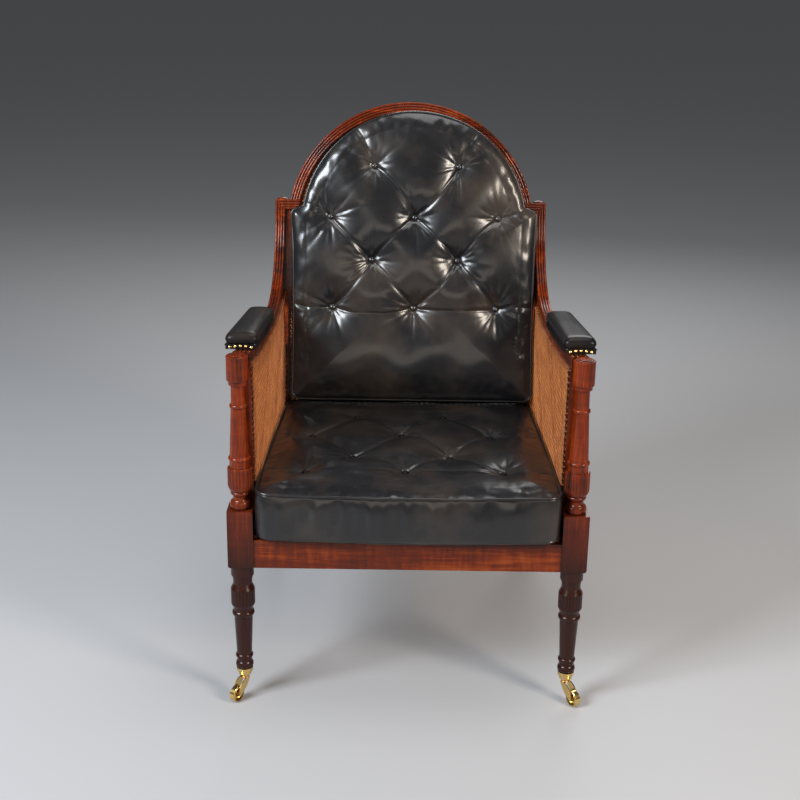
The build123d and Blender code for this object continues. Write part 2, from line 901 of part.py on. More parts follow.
arch_split = Plane(origin=on_back(0, shoulder_under, 0), z_dir=back_plane.y_dir)
rail_split = Plane(origin=on_back(0, caning_foot + caning_rail_height, 0), z_dir=back_plane.y_dir)
with BuildPart() as caning_arch:
    add(caning_frame.part)
    split(bisect_by=arch_split, keep=Keep.TOP)
save(caning_arch.part, "back_panel_arch")

with BuildPart() as caning_rail:
    add(caning_frame.part)
    split(bisect_by=rail_split, keep=Keep.BOTTOM)
save(caning_rail.part, "back_panel_rail")

with BuildPart() as caning_stile:
    add(caning_frame.part)
    split(bisect_by=arch_split, keep=Keep.BOTTOM)
    split(bisect_by=rail_split, keep=Keep.TOP)
    split(bisect_by=Plane.YZ, keep=Keep.TOP)
save_pair(caning_stile.part, "back_panel_stile")

with BuildPart() as back_cane:
    with BuildSketch(back_plane.offset(-recess_depth)):
        with BuildLine():
            shouldered_arch(
                post_inner_x - cane_margin,
                caning_foot + cane_margin,
                shoulder_under - cane_margin,
                crest_inner - cane_margin,
            )
        make_face()
    extrude(amount=cane_thickness)
save(back_cane.part, "back_cane_panel")

# Seat deck of cane on the four rails
deck_front_y = front_rail_front_y + deck_front_cover
deck_rear_y = rear_rail_front_y + deck_rear_cover
deck_half_front = side_rail_inner_front + deck_side_cover
deck_half_rear = post_inner_x - deck_side_cover / 3
with BuildPart() as seat_deck:
    with BuildSketch(Plane.XY.offset(rail_top)):
        with BuildLine():
            Polyline(
                (-deck_half_front, deck_front_y),
                (deck_half_front, deck_front_y),
                (deck_half_rear, deck_rear_y),
                (-deck_half_rear, deck_rear_y),
                close=True,
            )
        make_face()
    extrude(amount=cane_thickness)
save(seat_deck.part, "seat_cane_deck")

# Side panels: bottom rail, front stile and cane under each arm
panel_rail_top = rail_top + panel_rail_height
with BuildPart() as panel_rail:
    with BuildSketch(Plane.XY.offset(rail_top)):
        with BuildLine():
            Polyline(
                (panel_front_x, block_back_y),
                (panel_front_x + panel_thickness, block_back_y),
                (panel_rear_x + panel_thickness, rear_front_y),
                (panel_rear_x, rear_front_y),
                close=True,
            )
        make_face()
    extrude(amount=panel_rail_height)
save_pair(panel_rail.part, "side_panel_rail")

with BuildPart() as panel_stile:
    stile_lean = panel_stile_width * panel_lean
    with BuildSketch(Plane.XY.offset(panel_rail_top)):
        with BuildLine():
            Polyline(
                (panel_front_x, block_back_y),
                (panel_front_x + panel_thickness, block_back_y),
                (panel_front_x + panel_thickness - stile_lean, block_back_y + panel_stile_width),
                (panel_front_x - stile_lean, block_back_y + panel_stile_width),
                close=True,
            )
        make_face()
    extrude(amount=arm_front_top - panel_rail_top)
    add(arm_envelope.part, mode=Mode.SUBTRACT)
save_pair(panel_stile.part, "side_stile")

with BuildPart() as side_cane:
    with BuildSketch(side_plane.offset(-cane_thickness)):
        with BuildLine():
            Polyline(
                (panel_stile_width - 2 * cane_lap, panel_rail_top - 2 * cane_lap),
                (side_length, panel_rail_top - 2 * cane_lap),
                (side_length, block_top),
                (line_s(under_back_z + cane_lap), under_back_z + cane_lap),
                (panel_stile_width - 2 * cane_lap, under_front_z + 2 * cane_lap),
                close=True,
            )
        make_face()
    extrude(amount=cane_thickness)
    add(arm_envelope.part.moved(Location((0, 0, cane_lap))), mode=Mode.SUBTRACT)
save_pair(side_cane.part, "side_cane")

# Arm pads: a thin board on the reeds, a leather pad and a row of nails
pad_length = pad_back - pad_front


def arm_top_z(s):
    return arm_level + front_radius - sqrt(front_radius**2 - (sweep_centre_s - s) ** 2)


def pad_centre(s):
    return arm_width_at(s) / 2 + pad_overhang


board_front = pad_front + pad_board_margin
board_back = pad_back - pad_board_margin
pad_middle = (pad_front + pad_back) / 2
with BuildPart() as elbow_board:
    with BuildSketch(side_plane):
        with BuildLine():
            ThreePointArc(
                (board_front, arm_top_z(board_front)),
                (pad_middle, arm_top_z(pad_middle)),
                (board_back, arm_top_z(board_back)),
            )
            Line(
                (board_back, arm_top_z(board_back)),
                (board_back, arm_top_z(board_back) + pad_board_thickness),
            )
            ThreePointArc(
                (board_back, arm_top_z(board_back) + pad_board_thickness),
                (pad_middle, arm_top_z(pad_middle) + pad_board_thickness),
                (board_front, arm_top_z(board_front) + pad_board_thickness),
            )
            Line(
                (board_front, arm_top_z(board_front) + pad_board_thickness),
                (board_front, arm_top_z(board_front)),
            )
        make_face()
    extrude(amount=pad_front_width, both=True)
    board_half_front = pad_front_width / 2 - pad_board_margin
    board_half_back = pad_rear_width / 2 - pad_board_margin
    with BuildSketch(Plane(origin=side_plane.origin, x_dir=side_plane.x_dir, z_dir=(0, 0, 1))):
        with BuildLine():
            Polyline(
                (board_front, -pad_centre(board_front) - board_half_front),
                (board_back, -pad_centre(board_back) - board_half_back),
                (board_back, -pad_centre(board_back) + board_half_back),
                (board_front, -pad_centre(board_front) + board_half_front),
                close=True,
            )
        make_face()
    extrude(amount=arm_front_top + overrun, mode=Mode.INTERSECT)
save_pair(elbow_board.part, "elbow_board")

# Each pad is lofted through inset outlines, then cut to the board's curve
pad_slope = atan2(arm_top_z(pad_front) - arm_top_z(pad_back), pad_length)
pad_run = pad_length / cos(pad_slope)
pad_along = (side_plane.x_dir * cos(pad_slope) - side_plane.y_dir * sin(pad_slope)).normalized()
pad_up = (side_plane.x_dir * sin(pad_slope) + side_plane.y_dir * cos(pad_slope)).normalized()
pad_plane = Plane(
    origin=side_plane.from_local_coords(
        Vector(
            pad_middle,
            (arm_top_z(pad_front) + arm_top_z(pad_back)) / 2 + pad_board_thickness + button_gap,
            pad_centre(pad_middle),
        )
    ),
    x_dir=pad_along,
    z_dir=pad_up,
)


def pad_outline(inset):
    Polyline(
        (-pad_run / 2 + inset, -pad_front_width / 2 + inset),
        (pad_run / 2 - inset, -pad_rear_width / 2 + inset),
        (pad_run / 2 - inset, pad_rear_width / 2 - inset),
        (-pad_run / 2 + inset, pad_front_width / 2 - inset),
        close=True,
    )


with BuildPart() as arm_pad:
    for height, inset in (
        (-pad_edge_height, pad_edge_inset),
        (0, pad_edge_inset),
        (pad_edge_height, 0),
    ):
        with BuildSketch(pad_plane.offset(height)):
            with BuildLine():
                pad_outline(inset)
            make_face()
            fillet(vertices(), pad_corner)
    loft()
    for inset_share, rise_share in pad_crown_shares:
        with BuildSketch(pad_plane.offset(pad_edge_height + (pad_thickness - pad_edge_height) * rise_share)):
            with BuildLine():
                pad_outline(pad_rear_width / 2 * inset_share)
            make_face()
            fillet(vertices(), pad_corner * (1 - inset_share / 2))
    loft()
    with BuildSketch(side_plane):
        with BuildLine():
            ThreePointArc(
                (pad_front - overrun, arm_top_z(pad_front - overrun) + pad_board_thickness + button_gap),
                (pad_middle, arm_top_z(pad_middle) + pad_board_thickness + button_gap),
                (pad_back + overrun, arm_top_z(pad_back + overrun) + pad_board_thickness + button_gap),
            )
            Polyline(
                (pad_back + overrun, arm_top_z(pad_back + overrun) + pad_board_thickness + button_gap),
                (pad_back + overrun, arm_level - overrun),
                (pad_front - overrun, arm_level - overrun),
                (pad_front - overrun, arm_top_z(pad_front - overrun) + pad_board_thickness + button_gap),
            )
        make_face()
    extrude(amount=2 * pad_front_width, both=True, mode=Mode.SUBTRACT)
save_pair(arm_pad.part, "arm_pad")

nail_level = arm_top_z(board_front) + pad_board_thickness / 2
nail_face = Plane(
    origin=side_plane.from_local_coords(Vector(board_front, nail_level, pad_centre(board_front))),
    x_dir=side_plane.z_dir,
    z_dir=-side_plane.x_dir,
)
with BuildPart() as pad_nails:
    for index in range(nail_count):
        place = index - (nail_count - 1) / 2
        rise = nail_arch * (1 / 2 - (place / (nail_count - 1) * 2) ** 2)
        with Locations(nail_face):
            with Locations((nail_pitch * place, rise)):
                add(dome(Plane.XY, nail_radius, nail_height))
save_pair(pad_nails.part, "pad_nails")

# Tufting: bowls at the buttons and pleats along the diamonds between them


def crown_level(inset, span, crown):
    """Height of the crown above the welt at a distance inside the outline."""
    share = min(max(inset / span, 0), 1)
    level = crown
    shares = edge_shares + dome_shares
    for (low, low_rise), (high, high_rise) in zip(shares, shares[1:]):
        if low <= share < high:
            level = crown * (low_rise + (high_rise - low_rise) * (share - low) / (high - low))
    return level


def bowl(place, depth):
    with BuildPart() as hollow:
        with BuildSketch(Plane(origin=place.origin, x_dir=place.x_dir, z_dir=-place.y_dir)):
            with BuildLine():
                Polyline((0, tuft_lip), (0, -depth), (tuft_floor, -depth))
                Spline(
                    (tuft_floor, -depth),
                    (tuft_radius, tuft_lip),
                    tangents=(tuft_rise_direction, tuft_edge_direction),
                )
                Line((tuft_radius, tuft_lip), (0, tuft_lip))
            make_face()
        revolve(axis=Axis(place.origin, place.z_dir))
    return hollow.part


def pleat(start, end):
    with BuildPart() as fold:
        with BuildSketch(Plane(origin=start, z_dir=end - start)):
            Circle(pleat_radius)
        extrude(amount=(end - start).length)
    return fold.part


def button(place):
    with BuildPart() as covered:
        with BuildSketch(place):
            Circle(button_radius)
        extrude(amount=button_edge)
        add(dome(place.offset(button_edge), button_radius - button_edge / 2, button_height - button_edge))
    return covered.part


def diamond_links(rows):
    """Pairs of tufts joined by a pleat: each tuft with its neighbours in the next row."""
    links = []
    for row, next_row in zip(rows, rows[1:]):
        short, long = (row, next_row) if len(row) < len(next_row) else (next_row, row)
        for index, place in enumerate(short):
            links.append((place, long[index]))
            links.append((place, long[index + 1]))
    return links


# Seat cushion: a waisted box between two welts with a crowned top that falls to the rear
seat_base = deck_top + seat_gap
seat_front_y = front_y - seat_overhang
seat_half_front = post_x - block_size / 2 - seat_side_gap
seat_half_rear = seat_half_front - seat_side_taper
seat_pitch = atan2(seat_rear_drop, seat_depth)


def seat_level(height_share):
    """Plane across the seat cushion's box, its origin on the front edge."""
    return Plane(
        origin=(0, seat_front_y, seat_base + seat_cushion_thickness * height_share),
        x_dir=(1, 0, 0),
        z_dir=(0, sin(seat_pitch * height_share), cos(seat_pitch * height_share)),
    )


def seat_outline(inset):
    front = inset
    rear = seat_depth - inset
    front_half = seat_half_front - inset
    rear_half = seat_half_rear - inset
    ThreePointArc((-front_half, front), (0, front - seat_bow), (front_half, front))
    Polyline((front_half, front), (rear_half, rear), (-rear_half, rear), (-front_half, front))


seat_top = seat_level(1)
with BuildPart() as seat_box:
    for height_share, waist_share in box_shares:
        with BuildSketch(seat_level(height_share)):
            with BuildLine():
                seat_outline(seat_waist * waist_share)
            make_face()
            fillet(vertices().group_by(Axis.Y)[0], seat_corner_front)
            fillet(vertices().group_by(Axis.Y)[-1], seat_corner_rear)
    loft()
seat_layers = []
for shares in (edge_shares, dome_shares):
    with BuildPart() as layer:
        for inset_share, rise_share in shares:
            with BuildSketch(seat_top.offset(seat_cushion_crown * rise_share)):
                with BuildLine():
                    seat_outline(welt_seam + seat_half_rear * inset_share)
                make_face()
                fillet(vertices().group_by(Axis.Y)[0], seat_corner_front)
                fillet(vertices().group_by(Axis.Y)[-1], seat_corner_rear)
        loft()
    seat_layers.append(layer.part)

seat_places = []
for row_depth, row_x in seat_tufts:
    row_places = []
    for x in row_x:
        inset = min(seat_half_rear - abs(x), row_depth + seat_overhang)
        level = crown_level(inset, seat_half_rear, seat_cushion_crown)
        row_places.append(
            Plane(
                origin=seat_top.from_local_coords(Vector(x, row_depth + seat_overhang, level)),
                x_dir=seat_top.x_dir,
                z_dir=seat_top.z_dir,
            )
        )
    seat_places.append(row_places)

with BuildPart() as seat_cushion:
    add(seat_layers[1])
    add(seat_layers[0])
    add(seat_box.part)
    for row_places in seat_places:
        for place in row_places:
            add(bowl(place, seat_tuft_depth), mode=Mode.SUBTRACT)
    for start, end in diamond_links(seat_places):
        add(pleat(start.origin, end.origin), mode=Mode.SUBTRACT)
save(seat_cushion.part, "seat_cushion")

with BuildPart() as seat_buttons:
    for row_places in seat_places:
        for place in row_places:
            add(button(place.offset(button_gap - seat_tuft_depth)))
save(seat_buttons.part, "seat_tuft_buttons")

# Back cushion: the same box with the shouldered outline of the frame
cushion_plane = Plane(
    origin=on_back(back_cushion_shift, 0, back_cushion_gap),
    x_dir=back_plane.x_dir,
    z_dir=back_plane.z_dir,
)


back_half_waist = shoulder_half_width - back_waist_margin


def back_outline(inset):
    foot = (shoulder_half_width - back_foot_margin - inset, back_cushion_foot + inset)
    waist = (back_half_waist - inset, back_cushion_shoulder / 2)
    shoulder = (shoulder_half_width - back_shoulder_margin - inset, back_cushion_shoulder - inset)
    neck = (back_cushion_neck - inset, back_cushion_shoulder + back_shoulder_step - inset)
    crest = (0, back_cushion_top - inset)
    Line((-foot[0], foot[1]), foot)
    ThreePointArc(foot, waist, shoulder)
    Line(shoulder, neck)
    ThreePointArc(neck, crest, (-neck[0], neck[1]))
    Line((-neck[0], neck[1]), (-shoulder[0], shoulder[1]))
    ThreePointArc((-shoulder[0], shoulder[1]), (-waist[0], waist[1]), (-foot[0], foot[1]))


with BuildPart() as back_box:
    for height_share, waist_share in box_shares:
        with BuildSketch(cushion_plane.offset(back_cushion_thickness * height_share)):
            with BuildLine():
                back_outline(back_waist * waist_share)
            make_face()
            fillet(vertices().group_by(Axis.Y)[1], shoulder_corner)
            fillet(vertices().group_by(Axis.Y)[0], back_cushion_corner)
    loft()
back_layers = []
for shares in (edge_shares, dome_shares):
    with BuildPart() as layer:
        for inset_share, rise_share in shares:
            rise = back_cushion_thickness + back_cushion_crown * rise_share
            with BuildSketch(cushion_plane.offset(rise)):
                with BuildLine():
                    back_outline(welt_seam + back_crown_reach * inset_share)
                make_face()
                fillet(vertices().group_by(Axis.Y)[1], shoulder_corner)
                fillet(vertices().group_by(Axis.Y)[0], back_cushion_corner)
        loft()
    back_layers.append(layer.part)

back_places = []
for row_rise, row_x in back_tufts:
    row_places = []
    for x in row_x:
        inset = min(
            back_half_waist - abs(x - back_cushion_shift),
            row_rise - back_cushion_foot,
            crest_inner - hypot(x - back_cushion_shift, max(row_rise - crest_centre, 0)),
        )
        level = back_cushion_thickness + crown_level(inset, back_crown_reach, back_cushion_crown)
        row_places.append(
            Plane(
                origin=cushion_plane.from_local_coords(Vector(x - back_cushion_shift, row_rise, level)),
                x_dir=back_plane.x_dir,
                z_dir=back_plane.z_dir,
            )
        )
    back_places.append(row_places)

with BuildPart() as back_cushion:
    add(back_layers[1])
    add(back_layers[0])
    add(back_box.part)
    for row_places in back_places:
        for place in row_places:
            add(bowl(place, back_tuft_depth), mode=Mode.SUBTRACT)
    for start, end in diamond_links(back_places):
        add(pleat(start.origin, end.origin), mode=Mode.SUBTRACT)
save(back_cushion.part, "back_cushion")

with BuildPart() as back_buttons:
    for row_places in back_places:
        for place in row_places:
            add(button(place.offset(button_gap - back_tuft_depth)))
save(back_buttons.part, "back_buttons")

# Casters: a brass socket on each leg, a swivelling horn, an axle and a wheel
socket_foot = socket_top - socket_height
collar_top = socket_foot - caster_floor_gap
collar_foot = collar_top - collar_disc_height
cheek_inner = wheel_width / 2 + cheek_gap
cheek_outer = cheek_inner + cheek_thickness
screw_height = socket_foot + socket_height * 0.6
screw_reach = leg_tip_radius + leg_fit + screw_room


def swivel_post():
    with BuildPart() as pin:
        with BuildSketch(Plane.XY.offset(socket_foot + socket_base + caster_floor_gap)):
            Circle(rivet_radius)
        extrude(amount=rivet_height - caster_floor_gap)
        with BuildSketch(Plane.XY.offset(collar_foot)):
            Circle(swivel_radius)
        extrude(amount=socket_foot + socket_base + rivet_height - collar_foot)
    return pin.part


with BuildPart() as round_socket:
    with BuildSketch(Plane.XZ):
        with BuildLine():
            Polyline(
                (swivel_radius + swivel_fit, socket_foot),
                (socket_foot_radius - socket_bevel, socket_foot),
                (socket_foot_radius, socket_foot + socket_bevel),
                (socket_top_radius, socket_top - socket_band_height),
                (socket_top_radius + socket_band, socket_top - socket_band_height),
                (socket_top_radius + socket_band, socket_top),
                (leg_tip_radius + leg_fit, socket_top),
                (leg_tip_radius + leg_fit, socket_foot + socket_base),
                (swivel_radius + swivel_fit, socket_foot + socket_base),
                close=True,
            )
        make_face()
    revolve(axis=Axis.Z)
    with BuildSketch(Plane.YZ.offset(-socket_top_radius - overrun)):
        with Locations((0, screw_height)):
            Circle(screw_radius + axle_fit)
    extrude(amount=2 * (socket_top_radius + overrun), mode=Mode.SUBTRACT)

with BuildPart() as square_socket:
    with BuildSketch(Plane.XY.offset(socket_foot)):
        Rectangle(2 * square_socket_foot - 2 * socket_bevel, 2 * square_socket_foot - 2 * socket_bevel)
    with BuildSketch(Plane.XY.offset(socket_foot + socket_bevel)):
        Rectangle(2 * square_socket_foot, 2 * square_socket_foot)
    with BuildSketch(Plane.XY.offset(socket_top - socket_band_height)):
        Rectangle(2 * square_socket_top, 2 * square_socket_top)
    loft(ruled=True)
    with BuildSketch(Plane.XY.offset(socket_top - socket_band_height)):
        Rectangle(2 * (square_socket_top + socket_band), 2 * (square_socket_top + socket_band))
    extrude(amount=socket_band_height)
    with BuildSketch(Plane.XY.offset(socket_foot + socket_base)):
        Rectangle(2 * (leg_tip_radius + leg_fit), 2 * (leg_tip_radius + leg_fit))
    extrude(amount=socket_height, mode=Mode.SUBTRACT)
    with BuildSketch(Plane.XY.offset(socket_foot)):
        Circle(swivel_radius + swivel_fit)
    extrude(amount=socket_base, mode=Mode.SUBTRACT)
    with BuildSketch(Plane.YZ.offset(-socket_top_radius - overrun)):
        with Locations((0, screw_height)):
            Circle(screw_radius + axle_fit)
    extrude(amount=2 * (socket_top_radius + overrun), mode=Mode.SUBTRACT)

with BuildPart() as horn_casting:
    add(swivel_post())
    with BuildSketch(Plane.XY.offset(collar_foot)):
        Circle(collar_disc_radius)
    extrude(amount=collar_disc_height)
    with BuildSketch(Plane.XY.offset(collar_foot)):
        Rectangle(cheek_top_width, 2 * cheek_outer)
    extrude(amount=-collar_disc_height)
    yoke_foot = collar_foot - collar_disc_height
    boss_lean = cheek_boss_radius / sqrt(2)
    with BuildSketch(Plane.XZ.offset(cheek_inner)):
        with BuildLine():
            Line((-cheek_top_width / 2, yoke_foot), (-cheek_top_width / 2, collar_foot))
            Line((-cheek_top_width / 2, collar_foot), (cheek_top_width / 2, collar_foot))
            ThreePointArc(
                (cheek_top_width / 2, collar_foot),
                (caster_trail * cheek_crown_share, yoke_foot - collar_disc_height),
                (caster_trail + boss_lean, wheel_radius + boss_lean),
            )
            Line(
                (caster_trail + boss_lean, wheel_radius + boss_lean),
                (caster_trail - boss_lean, wheel_radius - boss_lean),
            )
            ThreePointArc(
                (caster_trail - boss_lean, wheel_radius - boss_lean),
                (caster_trail * cheek_hollow_share, wheel_radius + boss_lean + cheek_boss_radius),
                (-cheek_top_width / 2, yoke_foot),
            )
        make_face()
        with Locations((caster_trail, wheel_radius)):
            Circle(cheek_boss_radius)
    extrude(amount=cheek_thickness)
    mirror(about=Plane.XZ)
    with BuildSketch(Plane.XZ.offset(-cheek_outer)):
        with Locations((caster_trail, wheel_radius)):
            Circle(axle_radius + axle_fit)
    extrude(amount=2 * cheek_outer, mode=Mode.SUBTRACT)

with BuildPart() as wheel:
    with BuildSketch(Plane.XY):
        half = wheel_width / 2
        with BuildLine():
            Polyline(
                (axle_radius + axle_fit, half),
                (hub_radius, half),
                (hub_radius + wheel_edge, wheel_web / 2),
                (wheel_radius - wheel_rim, wheel_web / 2),
                (wheel_radius - wheel_rim + wheel_edge, half),
                (wheel_radius - wheel_edge, half),
                (wheel_radius, half - wheel_edge),
                (wheel_radius, -half + wheel_edge),
                (wheel_radius - wheel_edge, -half),
                (wheel_radius - wheel_rim + wheel_edge, -half),
                (wheel_radius - wheel_rim, -wheel_web / 2),
                (hub_radius + wheel_edge, -wheel_web / 2),
                (hub_radius, -half),
                (axle_radius + axle_fit, -half),
                close=True,
            )
        make_face()
    revolve(axis=Axis.Y)

with BuildPart() as axle:
    with BuildSketch(Plane.XZ.offset(-cheek_outer)):
        Circle(axle_radius)
    extrude(amount=2 * cheek_outer)
    with BuildSketch(Plane.XZ.offset(cheek_outer), Plane.XZ.offset(-cheek_outer - axle_head)):
        Circle(axle_head_radius)
    extrude(amount=axle_head)

caster_names = ("front_right", "rear_right", "front_left", "rear_left")
caster_places = (
    (post_x, front_y, -trail_turn),
    (post_centre_x, foot_y, trail_turn),
    (-post_x, front_y, 180 + trail_turn),
    (-post_centre_x, foot_y, 180 - trail_turn),
)
for name, (x, y, turn) in zip(caster_names, caster_places):
    leg_place = Location((x, y, 0))
    turned_place = Location((x, y, 0), (0, 0, turn))
    wheel_place = turned_place * Location((caster_trail, 0, wheel_radius))
    socket = round_socket if name.startswith("front") else square_socket
    with BuildPart() as placed_socket:
        with Locations(leg_place):
            add(socket.part)
    save(placed_socket.part, "caster_socket_" + name)
    with BuildPart() as placed_horn:
        with Locations(turned_place):
            add(horn_casting.part)
    save(placed_horn.part, "caster_horn_" + name)
    with BuildPart() as placed_axle:
        with Locations(wheel_place):
            add(axle.part)
    save(placed_axle.part, "caster_axle_" + name)
    with BuildPart() as placed_wheel:
        with Locations(wheel_place):
            add(wheel.part)
    save(placed_wheel.part, "caster_wheel_" + name)

with BuildPart() as caster_screws:
    for x, y, turn in caster_places:
        with BuildSketch(Plane.YZ.offset(x + screw_reach), Plane.YZ.offset(x - screw_reach - screw_length)):
            with Locations((y, screw_height)):
                Circle(screw_radius)
        extrude(amount=screw_length)
save(caster_screws.part, "caster_screws")
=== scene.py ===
"""Dresses the library bergere: polished mahogany, woven cane, buttoned black leather and brass."""

import math
import random
from typing import NamedTuple

import bmesh
import bpy
import numpy as np
from mathutils import Matrix, Vector


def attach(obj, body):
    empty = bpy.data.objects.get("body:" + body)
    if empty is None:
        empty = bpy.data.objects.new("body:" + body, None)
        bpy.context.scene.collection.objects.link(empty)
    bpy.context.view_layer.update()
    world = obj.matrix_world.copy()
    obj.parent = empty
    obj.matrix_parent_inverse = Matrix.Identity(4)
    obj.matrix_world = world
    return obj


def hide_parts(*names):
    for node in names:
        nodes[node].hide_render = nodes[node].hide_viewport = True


bl_info = {
    "name": "Library Bergere",
    "version": (1, 0, 0),
    "blender": (4, 5, 0),
    "location": "View3D > Sidebar > Bergere",
    "description": "Upholstery, caning, polish and studio for a library bergere",
    "category": "Add Mesh",
}

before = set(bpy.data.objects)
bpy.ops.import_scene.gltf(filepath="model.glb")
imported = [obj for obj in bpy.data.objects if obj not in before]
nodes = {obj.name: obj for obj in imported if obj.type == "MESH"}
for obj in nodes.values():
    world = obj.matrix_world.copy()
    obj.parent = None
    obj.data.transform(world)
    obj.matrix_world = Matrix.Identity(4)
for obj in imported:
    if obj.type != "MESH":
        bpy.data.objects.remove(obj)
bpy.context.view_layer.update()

MM = 0.001
CHAIR = "chair_frame"
SEAT = "seat_squab"
BACK = "back_squab"
SIDES = ("left", "right")
CORNERS = ("front_left", "front_right", "rear_left", "rear_right")
RAKE = math.radians(10.5)
BACK_ORIGIN_HEIGHT = 0.44
MERGE_DISTANCE = 0.02 * MM


# Places read from the frame


def node_points(name):
    """All vertices of a CAD node as an array of rows."""
    mesh = nodes[name].data
    flat = np.empty(len(mesh.vertices) * 3)
    mesh.vertices.foreach_get("co", flat)
    return flat.reshape(-1, 3)


def local_points(name, place):
    """All vertices of a CAD node in the local axes of a place."""
    inverse = place.inverted()
    return node_points(name) @ np.array(inverse.to_3x3()).T + np.array(inverse.translation)


def back_matrix():
    """Local axes of the back: X across, Y up the rake, Z out of its front face, origin on the reeds."""
    up = Vector((0, math.sin(RAKE), math.cos(RAKE)))
    out = Vector((0, -math.cos(RAKE), math.sin(RAKE)))
    face = (node_points("crest_arch") @ np.array(out)).max()
    foot = Vector((0, 0, BACK_ORIGIN_HEIGHT))
    origin = foot + out * (face - foot.dot(out))
    slide = (BACK_ORIGIN_HEIGHT - origin.z) / up.z
    origin = origin + up * slide
    return Matrix(
        (
            (1, 0, 0, origin.x),
            (0, up.y, out.y, origin.y),
            (0, up.z, out.z, origin.z),
            (0, 0, 0, 1),
        )
    )


def side_matrix(side):
    """Local axes of a side panel: X to the rear, Y up and Z outwards, from under its rail's front corner."""
    sign = 1 if side == "right" else -1
    rail = node_points("side_panel_rail_" + side)
    near = rail[:, 1] < rail[:, 1].min() + MM
    far = rail[:, 1] > rail[:, 1].max() - MM
    front = Vector((sign * np.abs(rail[near, 0]).min(), rail[near, 1].min(), 0))
    rear = Vector((sign * np.abs(rail[far, 0]).min(), rail[far, 1].max(), 0))
    along = (rear - front).normalized()
    out = Vector((sign * along.y, -sign * along.x, 0))
    return Matrix(
        (
            (along.x, 0, out.x, front.x),
            (along.y, 0, out.y, front.y),
            (0, 1, 0, 0),
            (0, 0, 0, 1),
        )
    )


def section_outline(node, place, height):
    """Closed outline of a CAD node where a plane at a local height cuts it, as local x, y points."""
    bm = bmesh.new()
    bm.from_mesh(nodes[node].data)
    bmesh.ops.transform(bm, matrix=place.inverted(), verts=bm.verts)
    bmesh.ops.remove_doubles(bm, verts=bm.verts, dist=MERGE_DISTANCE)
    cut = bmesh.ops.bisect_plane(
        bm,
        geom=bm.verts[:] + bm.edges[:] + bm.faces[:],
        plane_co=(0, 0, height),
        plane_no=(0, 0, 1),
    )["geom_cut"]
    points = np.array([(v.co.x, v.co.y) for v in cut if isinstance(v, bmesh.types.BMVert)])
    bm.free()
    centre = points.mean(0)
    spokes = points - centre
    order = np.argsort(np.arctan2(spokes[:, 1], spokes[:, 0]))
    return points[order]


def even_loop(points, step):
    """The same closed loop with points an even step apart."""
    closed = np.vstack([points, points[:1]])
    runs = np.hypot(*np.diff(closed, axis=0).T)
    marks = np.concatenate([[0], np.cumsum(runs)])
    count = int(marks[-1] / step)
    wanted = np.linspace(0, marks[-1], count, endpoint=False)
    return np.stack([np.interp(wanted, marks, closed[:, i]) for i in (0, 1)], 1)


GIMP_RADIUS = 1.2 * MM
GIMP_DROP = 0.8 * MM
GIMP_STAND = 0.5 * MM


def board_edge(side, edge):
    """Line along an elbow board's inner (-1) or outer (1) top edge, in the side's local axes."""
    local = local_points("elbow_board_" + side, side_matrix(side))
    line = []
    for place in sorted(set(local[:, 0].round(3))):
        near = local[np.abs(local[:, 0] - place) < 1.5 * MM]
        outermost = (edge * near[:, 2]).max() * edge
        line.append((place, near[:, 1].max() - GIMP_DROP, outermost + edge * GIMP_STAND))
    return line


# Mesh helpers


TUBE_RESOLUTION = 3


def link_object(name, data):
    """A new object in the scene for a mesh, a curve, a lamp or a camera."""
    piece = bpy.data.objects.new(name, data)
    bpy.context.scene.collection.objects.link(piece)
    return piece


def mesh_from(bm, name):
    """The mesh of a finished bmesh, which is freed."""
    mesh = bpy.data.meshes.new(name)
    bm.to_mesh(mesh)
    bm.free()
    return mesh


def show(name, mesh, body, material):
    """A new smooth piece that rides on a body and takes a finish."""
    piece = link_object(name, mesh)
    mesh.materials.clear()
    mesh.materials.append(material)
    mesh.polygons.foreach_set("use_smooth", [True] * len(mesh.polygons))
    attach(piece, body)
    return piece


def paint(node, material):
    """Gives a CAD node its finish."""
    mesh = nodes[node].data
    mesh.materials.clear()
    mesh.materials.append(material)


def tube_along(name, points, radius, place, closed=True):
    """A round piping mesh along points in local axes."""
    curve = bpy.data.curves.new(name, "CURVE")
    curve.dimensions = "3D"
    spline = curve.splines.new("POLY")
    spline.points.add(len(points) - 1)
    for spot, point in zip(spline.points, points):
        spot.co = (*(place @ Vector(point)), 1)
    spline.use_cyclic_u = closed
    curve.bevel_depth = radius
    curve.bevel_resolution = TUBE_RESOLUTION
    curve.use_fill_caps = not closed
    line = link_object(name + "_line", curve)
    mesh = bpy.data.meshes.new_from_object(line)
    bpy.data.objects.remove(line)
    bpy.data.curves.remove(curve)
    mesh.name = name
    return mesh


def ripples(seed, count, shortest, longest):
    """A smooth random field made of plane waves between two wavelengths, from -1 to 1."""
    draw = random.Random(seed)
    waves = [
        (
            draw.uniform(0, math.tau),
            2 * math.pi / draw.uniform(shortest, longest),
            draw.uniform(0, math.tau),
        )
        for _ in range(count)
    ]

    def field(x, y):
        total = np.zeros_like(x)
        for turn, number, phase in waves:
            total += np.sin(number * (x * math.cos(turn) + y * math.sin(turn)) + phase)
        return total / math.sqrt(count)

    return field


# Quilted cushions


def loop_distance(x, y, loop):
    """Distance from each point to a closed outline."""
    nearest = np.full(x.shape, 1e9)
    ends = np.roll(loop, -1, 0)
    for (ax, ay), (bx, by) in zip(loop, ends):
        dx, dy = bx - ax, by - ay
        share = np.clip(((x - ax) * dx + (y - ay) * dy) / (dx * dx + dy * dy), 0, 1)
        nearest = np.minimum(nearest, np.hypot(x - ax - share * dx, y - ay - share * dy))
    return nearest


